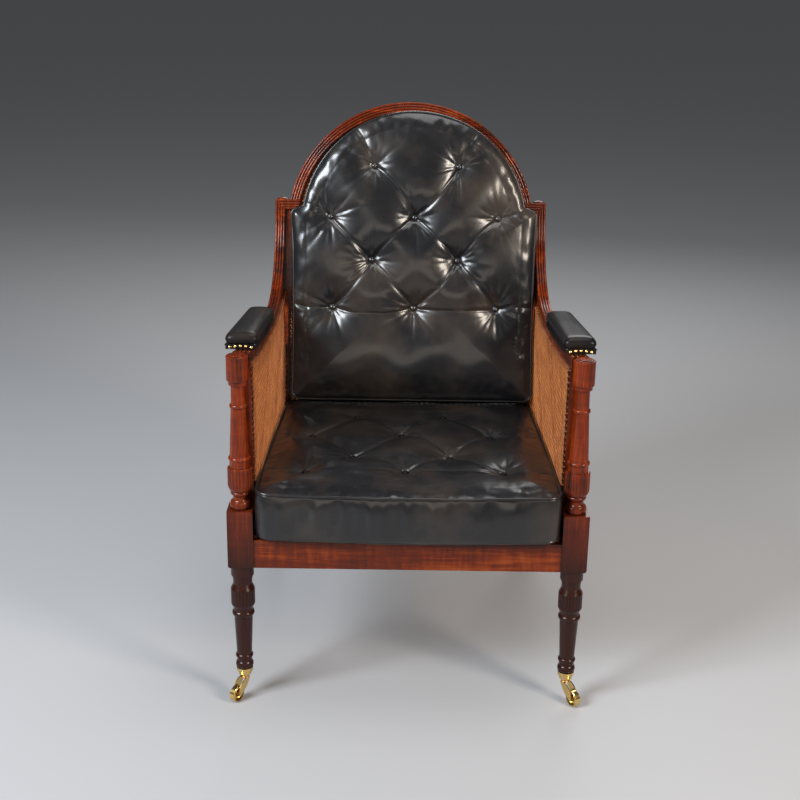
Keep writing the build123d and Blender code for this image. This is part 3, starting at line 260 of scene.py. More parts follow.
def reach_in(angle, loop, centre):
    """How far the outline lies from the centre in each direction."""
    spokes = loop - centre
    turns = np.arctan2(spokes[:, 1], spokes[:, 0])
    order = np.argsort(turns)
    turns, reach = turns[order], np.hypot(*spokes.T)[order]
    return np.interp(angle, turns, reach, period=math.tau)


PUCKERS = 17
BUTTON_EDGE = 0.006
BUTTON_COVER = 0.0003
PLEAT_BOW = 0.08
PLEAT_WANDER = 0.0010
FOLD_WIDTH = 0.0026
FOLD_END = 0.012
# Raised rolls beside a fold: side, distance from it and share of its depth
FOLD_ROLLS = ((1, 0.0085, 0.42), (-1, 0.0110, 0.22))
ROLL_WIDTH = 0.0048
PUCKER_WIDTH = 0.0018
PUCKER_SPREAD = 0.060
PUCKER_START = 0.013
PUCKER_SHARE = 0.85


class Quilt:
    """Buttons, pleats and puckers of one cushion, as a height to take off its crown.

    buttons holds their centres, and pleats each one's start, end and strength. depth and bowl are
    the depth and radius round a button, valley a pleat's half width and fold its crease's depth.
    """

    def __init__(self, seed, buttons, pleats, depth, bowl, valley, fold):
        draw = random.Random(seed)
        self.buttons = buttons
        self.depth = depth
        self.bowl = bowl
        self.valley = valley
        self.fold = fold
        self.pleats = []
        for start, end, strength in pleats:
            bow = draw.uniform(-PLEAT_BOW, PLEAT_BOW)
            self.pleats.append((start, end, strength, bow, draw.uniform(0, math.tau)))
        self.puckers = []
        for x, y in buttons:
            for i in range(PUCKERS):
                turn = math.tau * (i + draw.uniform(-0.4, 0.4)) / PUCKERS
                strength = draw.uniform(0.25, 1.0)
                self.puckers.append((x, y, turn, strength, draw.uniform(0.022, 0.060)))

    def seat_buttons(self, x, y, height, spots):
        """The height with each button's bowl brought just under the button."""
        for bx, by, foot in spots:
            r = np.hypot(x - bx, y - by)
            short = foot - BUTTON_COVER - height[np.argmin(r)]
            height = height + short * np.exp(-((r / (1.1 * self.bowl)) ** 2))
        return height

    def sink(self, x, y):
        """Depth of bowls and pleats together, 1 at a button."""
        total = np.zeros_like(x)
        for bx, by in self.buttons:
            r = np.hypot(x - bx, y - by)
            total += np.exp(-((np.maximum(r - BUTTON_EDGE, 0) / self.bowl) ** 1.05)) ** 4
        for start, end, strength, bow, _ in self.pleats:
            _, share, across, over = self.along_pleat(x, y, start, end, bow)
            off = np.hypot(across, over)
            swell = 0.46 + 0.46 * np.abs(2 * share - 1) ** 1.5
            total += (strength * swell * np.exp(-((off / self.valley) ** 1.2))) ** 4
        return total**0.25

    def along_pleat(self, x, y, start, end, bow):
        """Place along a pleat, its share, the distance across it and the distance past its ends."""
        (ax, ay), (bx, by) = start, end
        length = math.hypot(bx - ax, by - ay)
        ux, uy = (bx - ax) / length, (by - ay) / length
        along = (x - ax) * ux + (y - ay) * uy
        share = np.clip(along / length, 0, 1)
        across = -(x - ax) * uy + (y - ay) * ux - bow * length * 4 * share * (1 - share)
        over = np.maximum(np.maximum(-along, along - length), 0)
        return along, share, across, over

    def crease(self, x, y):
        """Sharp folds along the pleats and short puckers round the buttons, in metres."""
        total = np.zeros_like(x)
        for start, end, strength, bow, phase in self.pleats:
            along, share, across, over = self.along_pleat(x, y, start, end, bow)
            across = across - PLEAT_WANDER * np.sin(along * 80 + phase)
            fade = np.clip(1 - over / FOLD_END, 0, 1)
            keep = fade * (0.30 + 0.70 * np.abs(2 * share - 1) ** 1.3) * strength
            total += self.fold * keep * np.exp(-((across / FOLD_WIDTH) ** 2))
            for side, reach, height in FOLD_ROLLS:
                ridge = np.exp(-(((across * side - reach) / ROLL_WIDTH) ** 2))
                total -= self.fold * height * keep * ridge
        for bx, by, turn, strength, length in self.puckers:
            dx, dy = x - bx, y - by
            r = np.hypot(dx, dy)
            along = dx * math.cos(turn) + dy * math.sin(turn)
            across = -dx * math.sin(turn) + dy * math.cos(turn)
            width = PUCKER_WIDTH + PUCKER_SPREAD * np.maximum(along, 0)
            reach = np.exp(-((r / length) ** 2)) * (1 - np.exp(-((r / PUCKER_START) ** 2)))
            line = np.exp(-((across / width) ** 2)) * (along > 0)
            total += self.fold * PUCKER_SHARE * strength * reach * line
        return total


class Stuffing(NamedTuple):
    """The shape of a cushion's shell, in metres, shares and counts of cells."""

    base: float
    welt: float
    fall: float
    crown: float
    rim_share: float
    roll: float
    bulge: float
    front_bulge: float
    cells: int
    border_cells: int
    seed: int


WELT_WAVE = 0.8 * MM
BUTTON_SPAN = 18 * MM
ROW_SPAN = 40 * MM
RIM_WIDTH = 0.010
PRESSED_SHARE = 0.28
PRESSED_WIDTH = 0.055
SOFT_HEIGHT = 0.0016
GATHER_HEIGHT = 0.0005
GATHER_START = 0.006
GATHER_WIDTH = 0.026
TUFT_START = 0.030
CREASE_START = 0.012
SKIN_HEIGHT = 0.0004
SKIN_PLACE = 0.020
SKIN_WIDTH = 0.022
WRINKLE_HEIGHT = 0.0026
HANG_HEIGHT = 0.0016
UNDERCUT = 0.007
UNDERCUT_START = 0.90


def cushion_box(cells, border_cells):
    """A square top with a border and an underside, and each vertex's share of the way down."""
    bm = bmesh.new()
    level = bm.verts.layers.float.new("level")
    bmesh.ops.create_grid(bm, x_segments=cells, y_segments=cells, size=1)
    rim = [e for e in bm.edges if e.is_boundary]
    for step in range(1, border_cells + 1):
        grown = bmesh.ops.extrude_edge_only(bm, edges=rim)["geom"]
        rim = [g for g in grown if isinstance(g, bmesh.types.BMEdge) and g.is_boundary]
        for vert in {v for e in rim for v in e.verts}:
            vert[level] = step / border_cells
    bmesh.ops.holes_fill(bm, edges=rim, sides=0)
    bm.verts.ensure_lookup_table()
    return bm, np.array([vert[level] for vert in bm.verts])


def border_swell(angle, down, shape):
    """How far a cushion's border stands out in each direction and at each share of the way down."""
    wrinkles = ripples(shape.seed + 2, count=18, shortest=0.016, longest=0.080)(angle * 0.30, down * 0.020)
    hang = ripples(shape.seed + 3, count=10, shortest=0.060, longest=0.160)(angle * 0.30, down * 0.050)
    to_front = np.clip(-1.3 * np.sin(angle) - 0.3, 0, 1)
    flat_bow = 1 - (1 - 2 * down) ** 4
    round_bow = 1 - (1 - 2 * down) ** 2
    swell = (shape.bulge * flat_bow + shape.front_bulge * to_front * round_bow) * (down > 0)
    folds = WRINKLE_HEIGHT * wrinkles * (1 - down) + HANG_HEIGHT * hang
    return swell + folds * np.sin(down * math.pi)


def crown_height(x, y, inward, loop, rim_level, shape, quilt, spots):
    """Height of a cushion's quilted top at places that lie a distance inside its rim."""
    edge = 1 - np.exp(-inward / RIM_WIDTH)
    puff = 1 - np.exp(-inward / shape.roll)
    soft = ripples(shape.seed, count=9, shortest=0.09, longest=0.24)(x, y) * SOFT_HEIGHT * puff
    gathers = ripples(shape.seed + 5, count=20, shortest=0.016, longest=0.060)(x, y * 0.35)
    gathers = gathers * np.clip(inward / GATHER_START, 0, 1)
    soft = soft + GATHER_HEIGHT * gathers * np.exp(-inward / GATHER_WIDTH)
    pressed = 1 - PRESSED_SHARE * np.exp(-(((loop[:, 1].max() - y) / PRESSED_WIDTH) ** 2))
    top = rim_level + shape.crown * pressed * (shape.rim_share * edge + (1 - shape.rim_share) * puff) + soft
    top = top - quilt.depth * quilt.sink(x, y) * np.clip(inward / TUFT_START, 0, 1)
    top = quilt.seat_buttons(x, y, top, spots)
    top = top - quilt.crease(x, y) * np.clip(inward / CREASE_START, 0, 1)
    skin = ripples(shape.seed + 1, count=16, shortest=0.020, longest=0.060)(x, y)
    return top + SKIN_HEIGHT * skin * np.exp(-(((inward - SKIN_PLACE) / SKIN_WIDTH) ** 2))


def quilted_cushion(name, place, loop, shape, quilt, spots):
    """Closed shell: a quilted, crowned top, a stuffed border and a flat underside.

    spots gives each button's centre and the height of its foot.
    """
    bm, down = cushion_box(shape.cells, shape.border_cells)
    u = np.array([v.co.x for v in bm.verts])
    v = np.array([v.co.y for v in bm.verts])
    centre = (loop.min(0) + loop.max(0)) / 2
    share = np.maximum(np.abs(u), np.abs(v))
    angle = np.arctan2(v, u)
    reach = reach_in(angle, loop, centre)
    swell = border_swell(angle, down, shape)
    foot = UNDERCUT * np.clip((down - UNDERCUT_START) / (1 - UNDERCUT_START), 0, 1) ** 2
    x = centre[0] + np.cos(angle) * (reach * share + swell - foot)
    y = centre[1] + np.sin(angle) * (reach * share + swell - foot)
    inward = np.where(share < 1, loop_distance(x, y, loop), 0)
    rim_level = shape.welt - sag(y, loop, shape.fall)
    top = crown_height(x, y, inward, loop, rim_level, shape, quilt, spots)
    height = np.where(down > 0, rim_level + (shape.base - rim_level) * down, top)
    for vert, px, py, pz in zip(bm.verts, x, y, height):
        vert.co = place @ Vector((px, py, pz))
    bmesh.ops.recalc_face_normals(bm, faces=bm.faces)
    return mesh_from(bm, name)


def sag(y, loop, fall):
    """How far a cushion's edge has dropped at a place between its near and far sides."""
    return fall * np.clip((y - loop[:, 1].min()) / np.ptp(loop[:, 1]), 0, 1) ** 1.8


def welt_line(loop, height, fall, grow, seed):
    """Points of a welt round an outline, a little uneven."""
    centre = (loop.min(0) + loop.max(0)) / 2
    spokes = loop - centre
    ring = loop + spokes / np.hypot(*spokes.T)[:, None] * grow
    lift = ripples(seed, count=7, shortest=0.10, longest=0.40)(ring[:, 0], ring[:, 1]) * WELT_WAVE
    drop = sag(ring[:, 1], loop, fall)
    return [(x, y, height + dz - dy) for (x, y), dz, dy in zip(ring, lift, drop)]


def button_places(node, place):
    """Local centre and lowest level of each button in a CAD node."""
    local = local_points(node, place)
    left = list(range(len(local)))
    found = []
    while left:
        seed = local[left[0]]
        near = [i for i in left if np.hypot(*(local[i, :2] - seed[:2])) < BUTTON_SPAN]
        group = local[near]
        middle = (group.min(0) + group.max(0)) / 2
        found.append((middle[0], middle[1], group[:, 2].min()))
        taken = set(near)
        left = [i for i in left if i not in taken]
    return found


def rows_of(buttons):
    """Buttons sorted into rows from the lowest up, each from left to right."""
    rows = []
    for spot in sorted(buttons, key=lambda b: b[1]):
        if rows and abs(rows[-1][-1][1] - spot[1]) < ROW_SPAN:
            rows[-1].append(spot)
        else:
            rows.append([spot])
    return [sorted(row) for row in rows]


def diamond_pleats(rows):
    """Pleats of full strength from each button to its two neighbours in the next row."""
    pleats = []
    for row, above in zip(rows, rows[1:]):
        short, long = (row, above) if len(row) < len(above) else (above, row)
        for i, spot in enumerate(short):
            pleats.append((spot[:2], long[i][:2], 1.0))
            pleats.append((spot[:2], long[i + 1][:2], 1.0))
    return pleats


def row_pleats(row, strength):
    """Pleats from button to button along a row."""
    return [(a[:2], b[:2], strength) for a, b in zip(row, row[1:])]


def edge_pleats(row, loop, inset, rises, strengths):
    """Pleats from a row's outer buttons towards the cushion's left and right edges."""
    left, right = loop[:, 0].min(), loop[:, 0].max()
    return [
        (row[0][:2], (left + inset, row[0][1] + rises[0]), strengths[0]),
        (row[-1][:2], (right - inset, row[-1][1] + rises[1]), strengths[1]),
    ]


# Cane


STRAND_TONE_AND_HIGHLIGHT = "strand"
STRIP_THICKNESS = 0.8 * MM
STRIP_SWAY = 0.45 * MM
PAIR_SHARE = 0.62
WEAVE_SEED = 29
# Levels of the upright pairs, the cross pairs and the diagonals, from the panel's middle
UPRIGHT_LEVEL = -0.50 * MM
CROSS_LEVEL = 0.40 * MM
FALLING_LEVEL = 0.95 * MM
RISING_LEVEL = 1.55 * MM
KNOT_LEVEL = 1.6 * MM


def inside_runs(loop, origin, way):
    """Stretches of a line that lie inside a closed outline, as places along the line."""
    side = np.array((-way[1], way[0]))
    off = (loop - origin) @ side
    along = (loop - origin) @ way
    nearer, farther = off, np.roll(off, -1)
    crossing = (nearer < 0) != (farther < 0)
    share = nearer[crossing] / (nearer - farther)[crossing]
    places = along[crossing] + share * (np.roll(along, -1) - along)[crossing]
    return np.sort(places).reshape(-1, 2)


def strand_families(pitch, width):
    """The weave's families: direction, spacing, offset, level, phase, cells in a pitch and painted
    highlight, which makes the top diagonals paler than the strands beneath.
    """
    pair = width * PAIR_SHARE
    families = []
    for way, level in (((0, 1), UPRIGHT_LEVEL), ((1, 0), CROSS_LEVEL)):
        for offset, phase in ((-pair, 0), (pair, 1)):
            families.append((np.array(way, float), pitch, offset, level, phase, 2, 0))
    slant = math.sqrt(0.5)
    for way, level, painted_highlight in (((slant, -slant), FALLING_LEVEL, 0.3), ((slant, slant), RISING_LEVEL, 1)):
        families.append((np.array(way), pitch * slant, pitch * slant / 2, level, 0, 1, painted_highlight))
    return families


def woven_panel(name, place, loop, middle, pitch, width, face):
    """Six-way caning: pairs up and across, single strands on both diagonals.

    face is 1 where the diagonals lie on the local Z side and -1 where they lie on the other.
    """
    bm = bmesh.new()
    tone_and_highlight = bm.verts.layers.float.new(STRAND_TONE_AND_HIGHLIGHT)
    draw = random.Random(WEAVE_SEED)
    for way, spacing, offset, level, phase, pitch_cells, painted_highlight in strand_families(pitch, width):
        side = np.array((-way[1], way[0]))
        reach = loop @ side
        first = math.ceil((reach.min() - offset) / spacing)
        last = math.floor((reach.max() - offset) / spacing)
        for index in range(first, last + 1):
            origin = side * (index * spacing + offset)
            # Each strand's random tone, lifted on the top diagonals by a painted highlight
            tone = painted_highlight * draw.uniform(0.1, 1.2) + draw.uniform(0, 0.25)
            for start, end in inside_runs(loop, origin, way):
                if end - start < pitch:
                    continue
                cells = max(int((end - start) / pitch * pitch_cells), 1)
                strip = bmesh.ops.create_grid(bm, x_segments=cells, y_segments=1, size=0.5)["verts"]
                for vert in strip:
                    vert[tone_and_highlight] = tone
                    along = start + (vert.co.x + 0.5) * (end - start)
                    spot = origin + way * along + side * vert.co.y * width
                    sway = math.cos(math.pi * along / pitch * 2 + math.pi * (index + phase))
                    lift = level + STRIP_SWAY * sway * (pitch_cells - 1)
                    vert.co = place @ Vector((spot[0], spot[1], middle + face * lift))
    bmesh.ops.solidify(bm, geom=bm.faces[:], thickness=STRIP_THICKNESS)
    bmesh.ops.recalc_face_normals(bm, faces=bm.faces)
    return mesh_from(bm, name)


def cane_knots(name, place, loop, middle, pitch, width):
    """The wrapped knots where strands go down their holes, on both faces round a panel."""
    bm = bmesh.new()
    for x, y in even_loop(loop, pitch):
        for face in (-1, 1):
            spot = place @ Vector((x, y, middle + face * KNOT_LEVEL))
            bmesh.ops.create_icosphere(bm, subdivisions=1, radius=width, matrix=Matrix.Translation(spot))
    return mesh_from(bm, name)


# Node groups and materials


def new_group(name, inputs, outputs):
    """A shader node group with named sockets."""
    group = bpy.data.node_groups.new(name, "ShaderNodeTree")
    for label, kind, default in inputs:
        socket = group.interface.new_socket(label, in_out="INPUT", socket_type=kind)
        if default is not None:
            socket.default_value = default
    for label, kind in outputs:
        group.interface.new_socket(label, in_out="OUTPUT", socket_type=kind)
    source = group.nodes.new("NodeGroupInput")
    sink = group.nodes.new("NodeGroupOutput")
    return group, source, sink


def add(tree, kind, **values):
    """A node with its properties and its inputs' values set by name or number."""
    node = tree.nodes.new(kind)
    for key, value in values.items():
        if key == "inputs":
            for socket, number in value.items():
                node.inputs[socket].default_value = number
        else:
            setattr(node, key, value)
    return node


def mix_color(tree, factor, a, b):
    """A colour between two colours; each may be a socket or a plain value."""
    node = tree.nodes.new("ShaderNodeMix")
    node.data_type = "RGBA"
    for socket, value in ((node.inputs[0], factor), (node.inputs[6], a), (node.inputs[7], b)):
        if isinstance(value, bpy.types.NodeSocket):
            tree.links.new(value, socket)
        else:
            socket.default_value = (*value, 1)
    return node.outputs[2]


def maths(tree, operation, a, b, clamp=False):
    """One sum of two values; each may be a socket or a number."""
    node = tree.nodes.new("ShaderNodeMath")
    node.operation = operation
    node.use_clamp = clamp
    for socket, value in ((node.inputs[0], a), (node.inputs[1], b)):
        if isinstance(value, bpy.types.NodeSocket):
            tree.links.new(value, socket)
        else:
            socket.default_value = value
    return node.outputs[0]


def fed(tree, kind, source, **values):
    """The first output of a node whose first input is linked, with its other values set."""
    node = add(tree, kind, **values)
    tree.links.new(source, node.inputs[0])
    return node.outputs[0]


def noise(tree, vector, **settings):
    """A noise of a given scale and detail, and roughness or distortion where it has them."""
    inputs = {label.title(): number for label, number in settings.items()}
    return fed(tree, "ShaderNodeTexNoise", vector, inputs=inputs)


def stretched(tree, vector, scale):
    """A vector scaled along each axis."""
    return fed(tree, "ShaderNodeMapping", vector, inputs={"Scale": scale})


def spread(tree, value, low=0.0, high=1.0, start=0.0, end=1.0):
    """A value's stretch from low to high, spread from start to end."""
    inputs = {"From Min": low, "From Max": high, "To Min": start, "To Max": end}
    return fed(tree, "ShaderNodeMapRange", value, inputs=inputs)


def share_of(tree, value, share):
    """A value times a number."""
    return maths(tree, "MULTIPLY", value, share)


def grain_group():
    """Mahogany figure: broad ribbon, fine streaks and open pores along the local X of its vector."""
    group, source, sink = new_group(
        "Mahogany Figure",
        (
            ("Vector", "NodeSocketVector", None),
            ("Dark", "NodeSocketColor", (0.02, 0.005, 0.002, 1)),
            ("Middle", "NodeSocketColor", (0.13, 0.03, 0.01, 1)),
            ("Light", "NodeSocketColor", (0.3, 0.08, 0.02, 1)),
            ("Figure", "NodeSocketFloat", 0.5),
        ),
        (("Color", "NodeSocketColor"), ("Roughness", "NodeSocketFloat"), ("Height", "NodeSocketFloat")),
    )
    vector, dark = source.outputs["Vector"], source.outputs["Dark"]
    ribbon = noise(group, stretched(group, vector, (1.3, 13, 13)), scale=2.2, detail=5, distortion=1.1)
    streak = noise(group, stretched(group, vector, (5, 120, 120)), scale=2.6, detail=6, roughness=0.65)
    flame = noise(group, stretched(group, vector, (42, 7, 7)), scale=1.0, detail=3, distortion=2.2)
    pores = noise(group, stretched(group, vector, (30, 700, 700)), scale=1.6, detail=2)
    mixed = maths(group, "ADD", share_of(group, ribbon, 0.62), share_of(group, streak, 0.38))
    flamed = share_of(group, maths(group, "SUBTRACT", flame, 0.5), source.outputs["Figure"])
    mixed = maths(group, "ADD", mixed, flamed, clamp=True)
    shade = mix_color(group, spread(group, mixed, 0.34, 0.54), dark, source.outputs["Middle"])
    shade = mix_color(group, spread(group, mixed, 0.52, 0.72), shade, source.outputs["Light"])
    specks = spread(group, pores, 0.60, 0.72)
    shade = mix_color(group, share_of(group, specks, 0.35), shade, dark)
    group.links.new(shade, sink.inputs["Color"])
    group.links.new(spread(group, streak, start=0.18, end=0.34), sink.inputs["Roughness"])
    relief = maths(group, "SUBTRACT", streak, share_of(group, specks, 0.8))
    group.links.new(relief, sink.inputs["Height"])
    return group


def hide_group():
    """Waxed leather: fine pebble grain, soft wrinkles and rubbed patches."""
    group, source, sink = new_group(
        "Waxed Leather",
        (
            ("Vector", "NodeSocketVector", None),
            ("Black", "NodeSocketColor", (0.006, 0.006, 0.007, 1)),
            ("Rubbed", "NodeSocketColor", (0.03, 0.02, 0.014, 1)),
        ),
        (("Color", "NodeSocketColor"), ("Roughness", "NodeSocketFloat"), ("Height", "NodeSocketFloat")),
    )
    vector = source.outputs["Vector"]
    patch = noise(group, vector, scale=7.5, detail=6, roughness=0.62)
    scuff = noise(group, vector, scale=34, detail=5, roughness=0.6)
    wrinkle = noise(group, vector, scale=60, detail=7, roughness=0.62, distortion=0.8)
    broad = noise(group, vector, scale=17, detail=4, distortion=0.6)
    pebble = fed(group, "ShaderNodeTexVoronoi", vector, inputs={"Scale": 620})
    worn = spread(group, patch, 0.46, 0.70)
    shade = mix_color(group, worn, source.outputs["Black"], source.outputs["Rubbed"])
    group.links.new(shade, sink.inputs["Color"])
    rough = maths(group, "ADD", share_of(group, patch, 0.26), 0.14)
    rough = maths(group, "ADD", rough, share_of(group, scuff, 0.10))
    group.links.new(rough, sink.inputs["Roughness"])
    height = maths(group, "ADD", share_of(group, pebble, 0.05), share_of(group, wrinkle, 0.55))
    height = maths(group, "ADD", height, share_of(group, broad, 1.6))
    group.links.new(height, sink.inputs["Height"])
    return group


def patina_and_shade_group():
    """Wax and dust left in hollows, and painted shade: darkens a colour where the surface is shut in."""
    group, source, sink = new_group(
        "Hollow Patina And Painted Shade",
        (
            ("Color", "NodeSocketColor", (0.5, 0.5, 0.5, 1)),
            ("Openness", "NodeSocketFloat", 1.0),
            ("Dirt And Shade", "NodeSocketColor", (0.01, 0.005, 0.003, 1)),
        ),
        (("Color", "NodeSocketColor"),),
    )
    shut_in_shade = spread(group, source.outputs["Openness"], low=0.25, high=0.85, start=0.9, end=0)
    shade = mix_color(group, shut_in_shade, source.outputs["Color"], source.outputs["Dirt And Shade"])
    group.links.new(shade, sink.inputs["Color"])
    return group


def new_material(name):
    """A material with an empty Principled shader."""
    material = bpy.data.materials.new(name)
    material.use_nodes = True
    tree = material.node_tree
    tree.nodes.clear()
    output = tree.nodes.new("ShaderNodeOutputMaterial")
    shader = tree.nodes.new("ShaderNodeBsdfPrincipled")
    tree.links.new(shader.outputs[0], output.inputs[0])
    return material, tree, shader


def place_on_chair(tree):
    """The vector of object coordinates, which is the place on the chair in metres."""
    return add(tree, "ShaderNodeTexCoord").outputs["Object"]


def aged_and_shaded(tree, color, hollow, groups, dirt_and_shade=None):
    """A colour darkened by patina and painted shade in hollows up to a size."""
    openness = add(tree, "ShaderNodeAmbientOcclusion", samples=8, inputs={"Distance": hollow})
    patina_and_shade = add(tree, "ShaderNodeGroup", node_tree=groups["patina_and_shade"])
    if dirt_and_shade:
        patina_and_shade.inputs["Dirt And Shade"].default_value = (*dirt_and_shade, 1)
    tree.links.new(color, patina_and_shade.inputs["Color"])
    tree.links.new(openness.outputs["AO"], patina_and_shade.inputs["Openness"])
    return patina_and_shade.outputs["Color"]


def emboss(tree, shader, height, strength, distance):
    """Gives a shader's surface the bumps of a height."""
    bump = add(tree, "ShaderNodeBump", inputs={"Strength": strength, "Distance": distance})
    tree.links.new(height, bump.inputs["Height"])
    tree.links.new(bump.outputs[0], shader.inputs["Normal"])


def polish(shader, specular, coat, coat_roughness):
    """Sets the gloss of a shader's base and the weight and roughness of its coat."""
    shader.inputs["Specular IOR Level"].default_value = specular
    shader.inputs["Coat Weight"].default_value = coat
    shader.inputs["Coat Roughness"].default_value = coat_roughness


TARNISH = (0.34, 0.19, 0.06)
# Dirt and painted shade in the hollows of the brass
BRASS_DIRT_AND_SHADE = (0.05, 0.028, 0.010)
CANE_FIBRE = (0.16, 0.055, 0.014)
# Dirt and painted shade where the cane's strands cross
CANE_DIRT_AND_SHADE = (0.075, 0.025, 0.007)
GRAIN_TURNS = {"X": (0, 0, 0), "Y": (0, 0, -math.pi / 2), "Z": (0, math.pi / 2, 0)}
# Heights between which painted shade darkens the wood towards the floor
PAINTED_SHADE_BOTTOM = 0.28
PAINTED_SHADE_TOP = 0.50


def mahogany(name, axis, colors, figure, groups, offset=(0, 0, 0), low_shade=0):
    """Polished mahogany with its grain along one of the chair's axes, darker towards the floor as painted
    shade.

    colors are the dark, middle and light of the wood.
    """
    material, tree, shader = new_material(name)
    link = tree.links.new
    place = place_on_chair(tree)
    turned = fed(
        tree, "ShaderNodeMapping", place, inputs={"Rotation": GRAIN_TURNS[axis], "Location": offset}
    )
    grain = add(tree, "ShaderNodeGroup", node_tree=groups["grain"])
    for socket, color in zip(("Dark", "Middle", "Light"), colors):
        grain.inputs[socket].default_value = (*color, 1)
    grain.inputs["Figure"].default_value = figure
    link(turned, grain.inputs["Vector"])
    parts = add(tree, "ShaderNodeSeparateXYZ")
    link(place, parts.inputs[0])
    # Painted shade: the wood turns darker below these heights, where less light reaches the legs
    low = spread(tree, parts.outputs["Z"], PAINTED_SHADE_BOTTOM, PAINTED_SHADE_TOP, low_shade, 0)
    shade = mix_color(tree, low, grain.outputs["Color"], colors[0])
    # Wax and painted shade darken the wood in its hollows
    link(aged_and_shaded(tree, shade, 6 * MM, groups), shader.inputs["Base Color"])
    link(grain.outputs["Roughness"], shader.inputs["Roughness"])
    emboss(tree, shader, grain.outputs["Height"], 0.12, 0.6 * MM)
    polish(shader, specular=0.2, coat=0.16, coat_roughness=0.05)
    return material


def leather(name, black, rubbed, coat, bump, specular, groups):
    """Waxed leather with pebbles and wrinkles up to a bump's height."""
    material, tree, shader = new_material(name)
    link = tree.links.new
    skin = add(tree, "ShaderNodeGroup", node_tree=groups["hide"])
    skin.inputs["Black"].default_value = (*black, 1)
    skin.inputs["Rubbed"].default_value = (*rubbed, 1)
    link(place_on_chair(tree), skin.inputs["Vector"])
    link(skin.outputs["Color"], shader.inputs["Base Color"])
    link(skin.outputs["Roughness"], shader.inputs["Roughness"])
    emboss(tree, shader, skin.outputs["Height"], 0.35, bump)
    polish(shader, specular, coat, coat_roughness=0.16)
    return material


def brass(name, color, groups):
    """Polished brass, clouded with tarnish."""
    material, tree, shader = new_material(name)
    link = tree.links.new
    cloud = noise(tree, place_on_chair(tree), scale=85, detail=5)
    tarnished = mix_color(tree, share_of(tree, cloud, 0.45), color, TARNISH)
    # Dirt and painted shade darken the brass in its hollows
    link(aged_and_shaded(tree, tarnished, 4 * MM, groups, BRASS_DIRT_AND_SHADE), shader.inputs["Base Color"])
    link(spread(tree, cloud, start=0.12, end=0.30), shader.inputs["Roughness"])
    shader.inputs["Metallic"].default_value = 1
    return material


def cane(name, pale, golden, groups):
    """Split cane: glossy strips that vary in colour from strand to strand, paler on the top diagonals as
    painted highlight and darker in the crossings from dirt and painted shade.
    """
    material, tree, shader = new_material(name)
    link = tree.links.new
    place = place_on_chair(tree)
    fibre = noise(tree, place, scale=420, detail=4)
    tone = spread(tree, noise(tree, place, scale=46, detail=3), 0.36, 0.66)
    # Paler on the top diagonals as painted highlight; the strands beneath stay darker as painted shade
    strand = add(tree, "ShaderNodeAttribute", attribute_name=STRAND_TONE_AND_HIGHLIGHT).outputs["Fac"]
    lift = share_of(tree, strand, 0.48)
    lift = maths(tree, "ADD", share_of(tree, tone, 0.38), lift, clamp=True)
    shade = mix_color(tree, lift, golden, pale)
    shade = mix_color(tree, share_of(tree, fibre, 0.35), shade, CANE_FIBRE)
    # Dirt and painted shade darken the cane where strands cross and meet the frame
    link(aged_and_shaded(tree, shade, 5 * MM, groups, CANE_DIRT_AND_SHADE), shader.inputs["Base Color"])
    link(spread(tree, fibre, start=0.16, end=0.40), shader.inputs["Roughness"])
    emboss(tree, shader, fibre, 0.3, 0.4 * MM)
    return material


# Sizes and finishes that a user may change


class BergereSizes(bpy.types.PropertyGroup):
    """Sizes of the upholstery and the cane"""

    welt: bpy.props.FloatProperty(
        name="Welt", description="Thickness of the leather piping", unit="LENGTH",
        default=5.4 * MM,
    )
    cane_pitch: bpy.props.FloatProperty(
        name="Cane pitch", description="Distance between the holes for the cane", unit="LENGTH",
        default=11.5 * MM,
    )
    cane_width: bpy.props.FloatProperty(
        name="Cane width", description="Width of one strip of cane", unit="LENGTH",
        default=2.1 * MM,
    )
    seat_tuft: bpy.props.FloatProperty(
        name="Seat tufting", description="Depth of the seat's pleats", unit="LENGTH",
        default=16 * MM,
    )
    back_tuft: bpy.props.FloatProperty(
        name="Back tufting", description="Depth of the back's pleats", unit="LENGTH",
        default=25 * MM,
    )


class BergereFinishes(bpy.types.PropertyGroup):
    """Colours of the wood, the leather, the cane and the brass"""

    wood_dark: bpy.props.FloatVectorProperty(
        name="Wood, dark", description="Darkest colour of the mahogany", subtype="COLOR", size=3,
        default=(0.018, 0.0040, 0.0020),
    )
    wood_middle: bpy.props.FloatVectorProperty(
        name="Wood, middle", description="Main colour of the mahogany", subtype="COLOR", size=3,
        default=(0.195, 0.0225, 0.0022),
    )
    wood_light: bpy.props.FloatVectorProperty(
        name="Wood, light", description="Lightest colour of the mahogany", subtype="COLOR", size=3,
        default=(0.44, 0.082, 0.009),
    )
    leather_black: bpy.props.FloatVectorProperty(
        name="Leather", description="Colour of the leather", subtype="COLOR", size=3,
        default=(0.0055, 0.0055, 0.0065),
    )
    leather_rubbed: bpy.props.FloatVectorProperty(
        name="Leather, rubbed", description="Colour where the leather is rubbed", subtype="COLOR", size=3,
        default=(0.026, 0.018, 0.013),
    )
    cane_golden: bpy.props.FloatVectorProperty(
        name="Cane", description="Main colour of the cane", subtype="COLOR", size=3,
        default=(0.20, 0.040, 0.004),
    )
    cane_pale: bpy.props.FloatVectorProperty(
        name="Cane, pale", description="Lighter strips of cane", subtype="COLOR", size=3,
        default=(0.70, 0.25, 0.070),
    )
    brass: bpy.props.FloatVectorProperty(
        name="Brass", description="Colour of the polished brass", subtype="COLOR", size=3,
        default=(0.83, 0.60, 0.24),
    )


finishes = {}

# Shares of the chosen dark, middle and light colours, and the strength of the figure
FRAME_WOOD = ((1.4, 0.66, 0.78), 0.25)
LEG_WOOD = ((0.9, 0.82, 0.62), 0.15)
FRONT_RAIL_WOOD = ((1.9, 0.52, 0.54), 0.30)
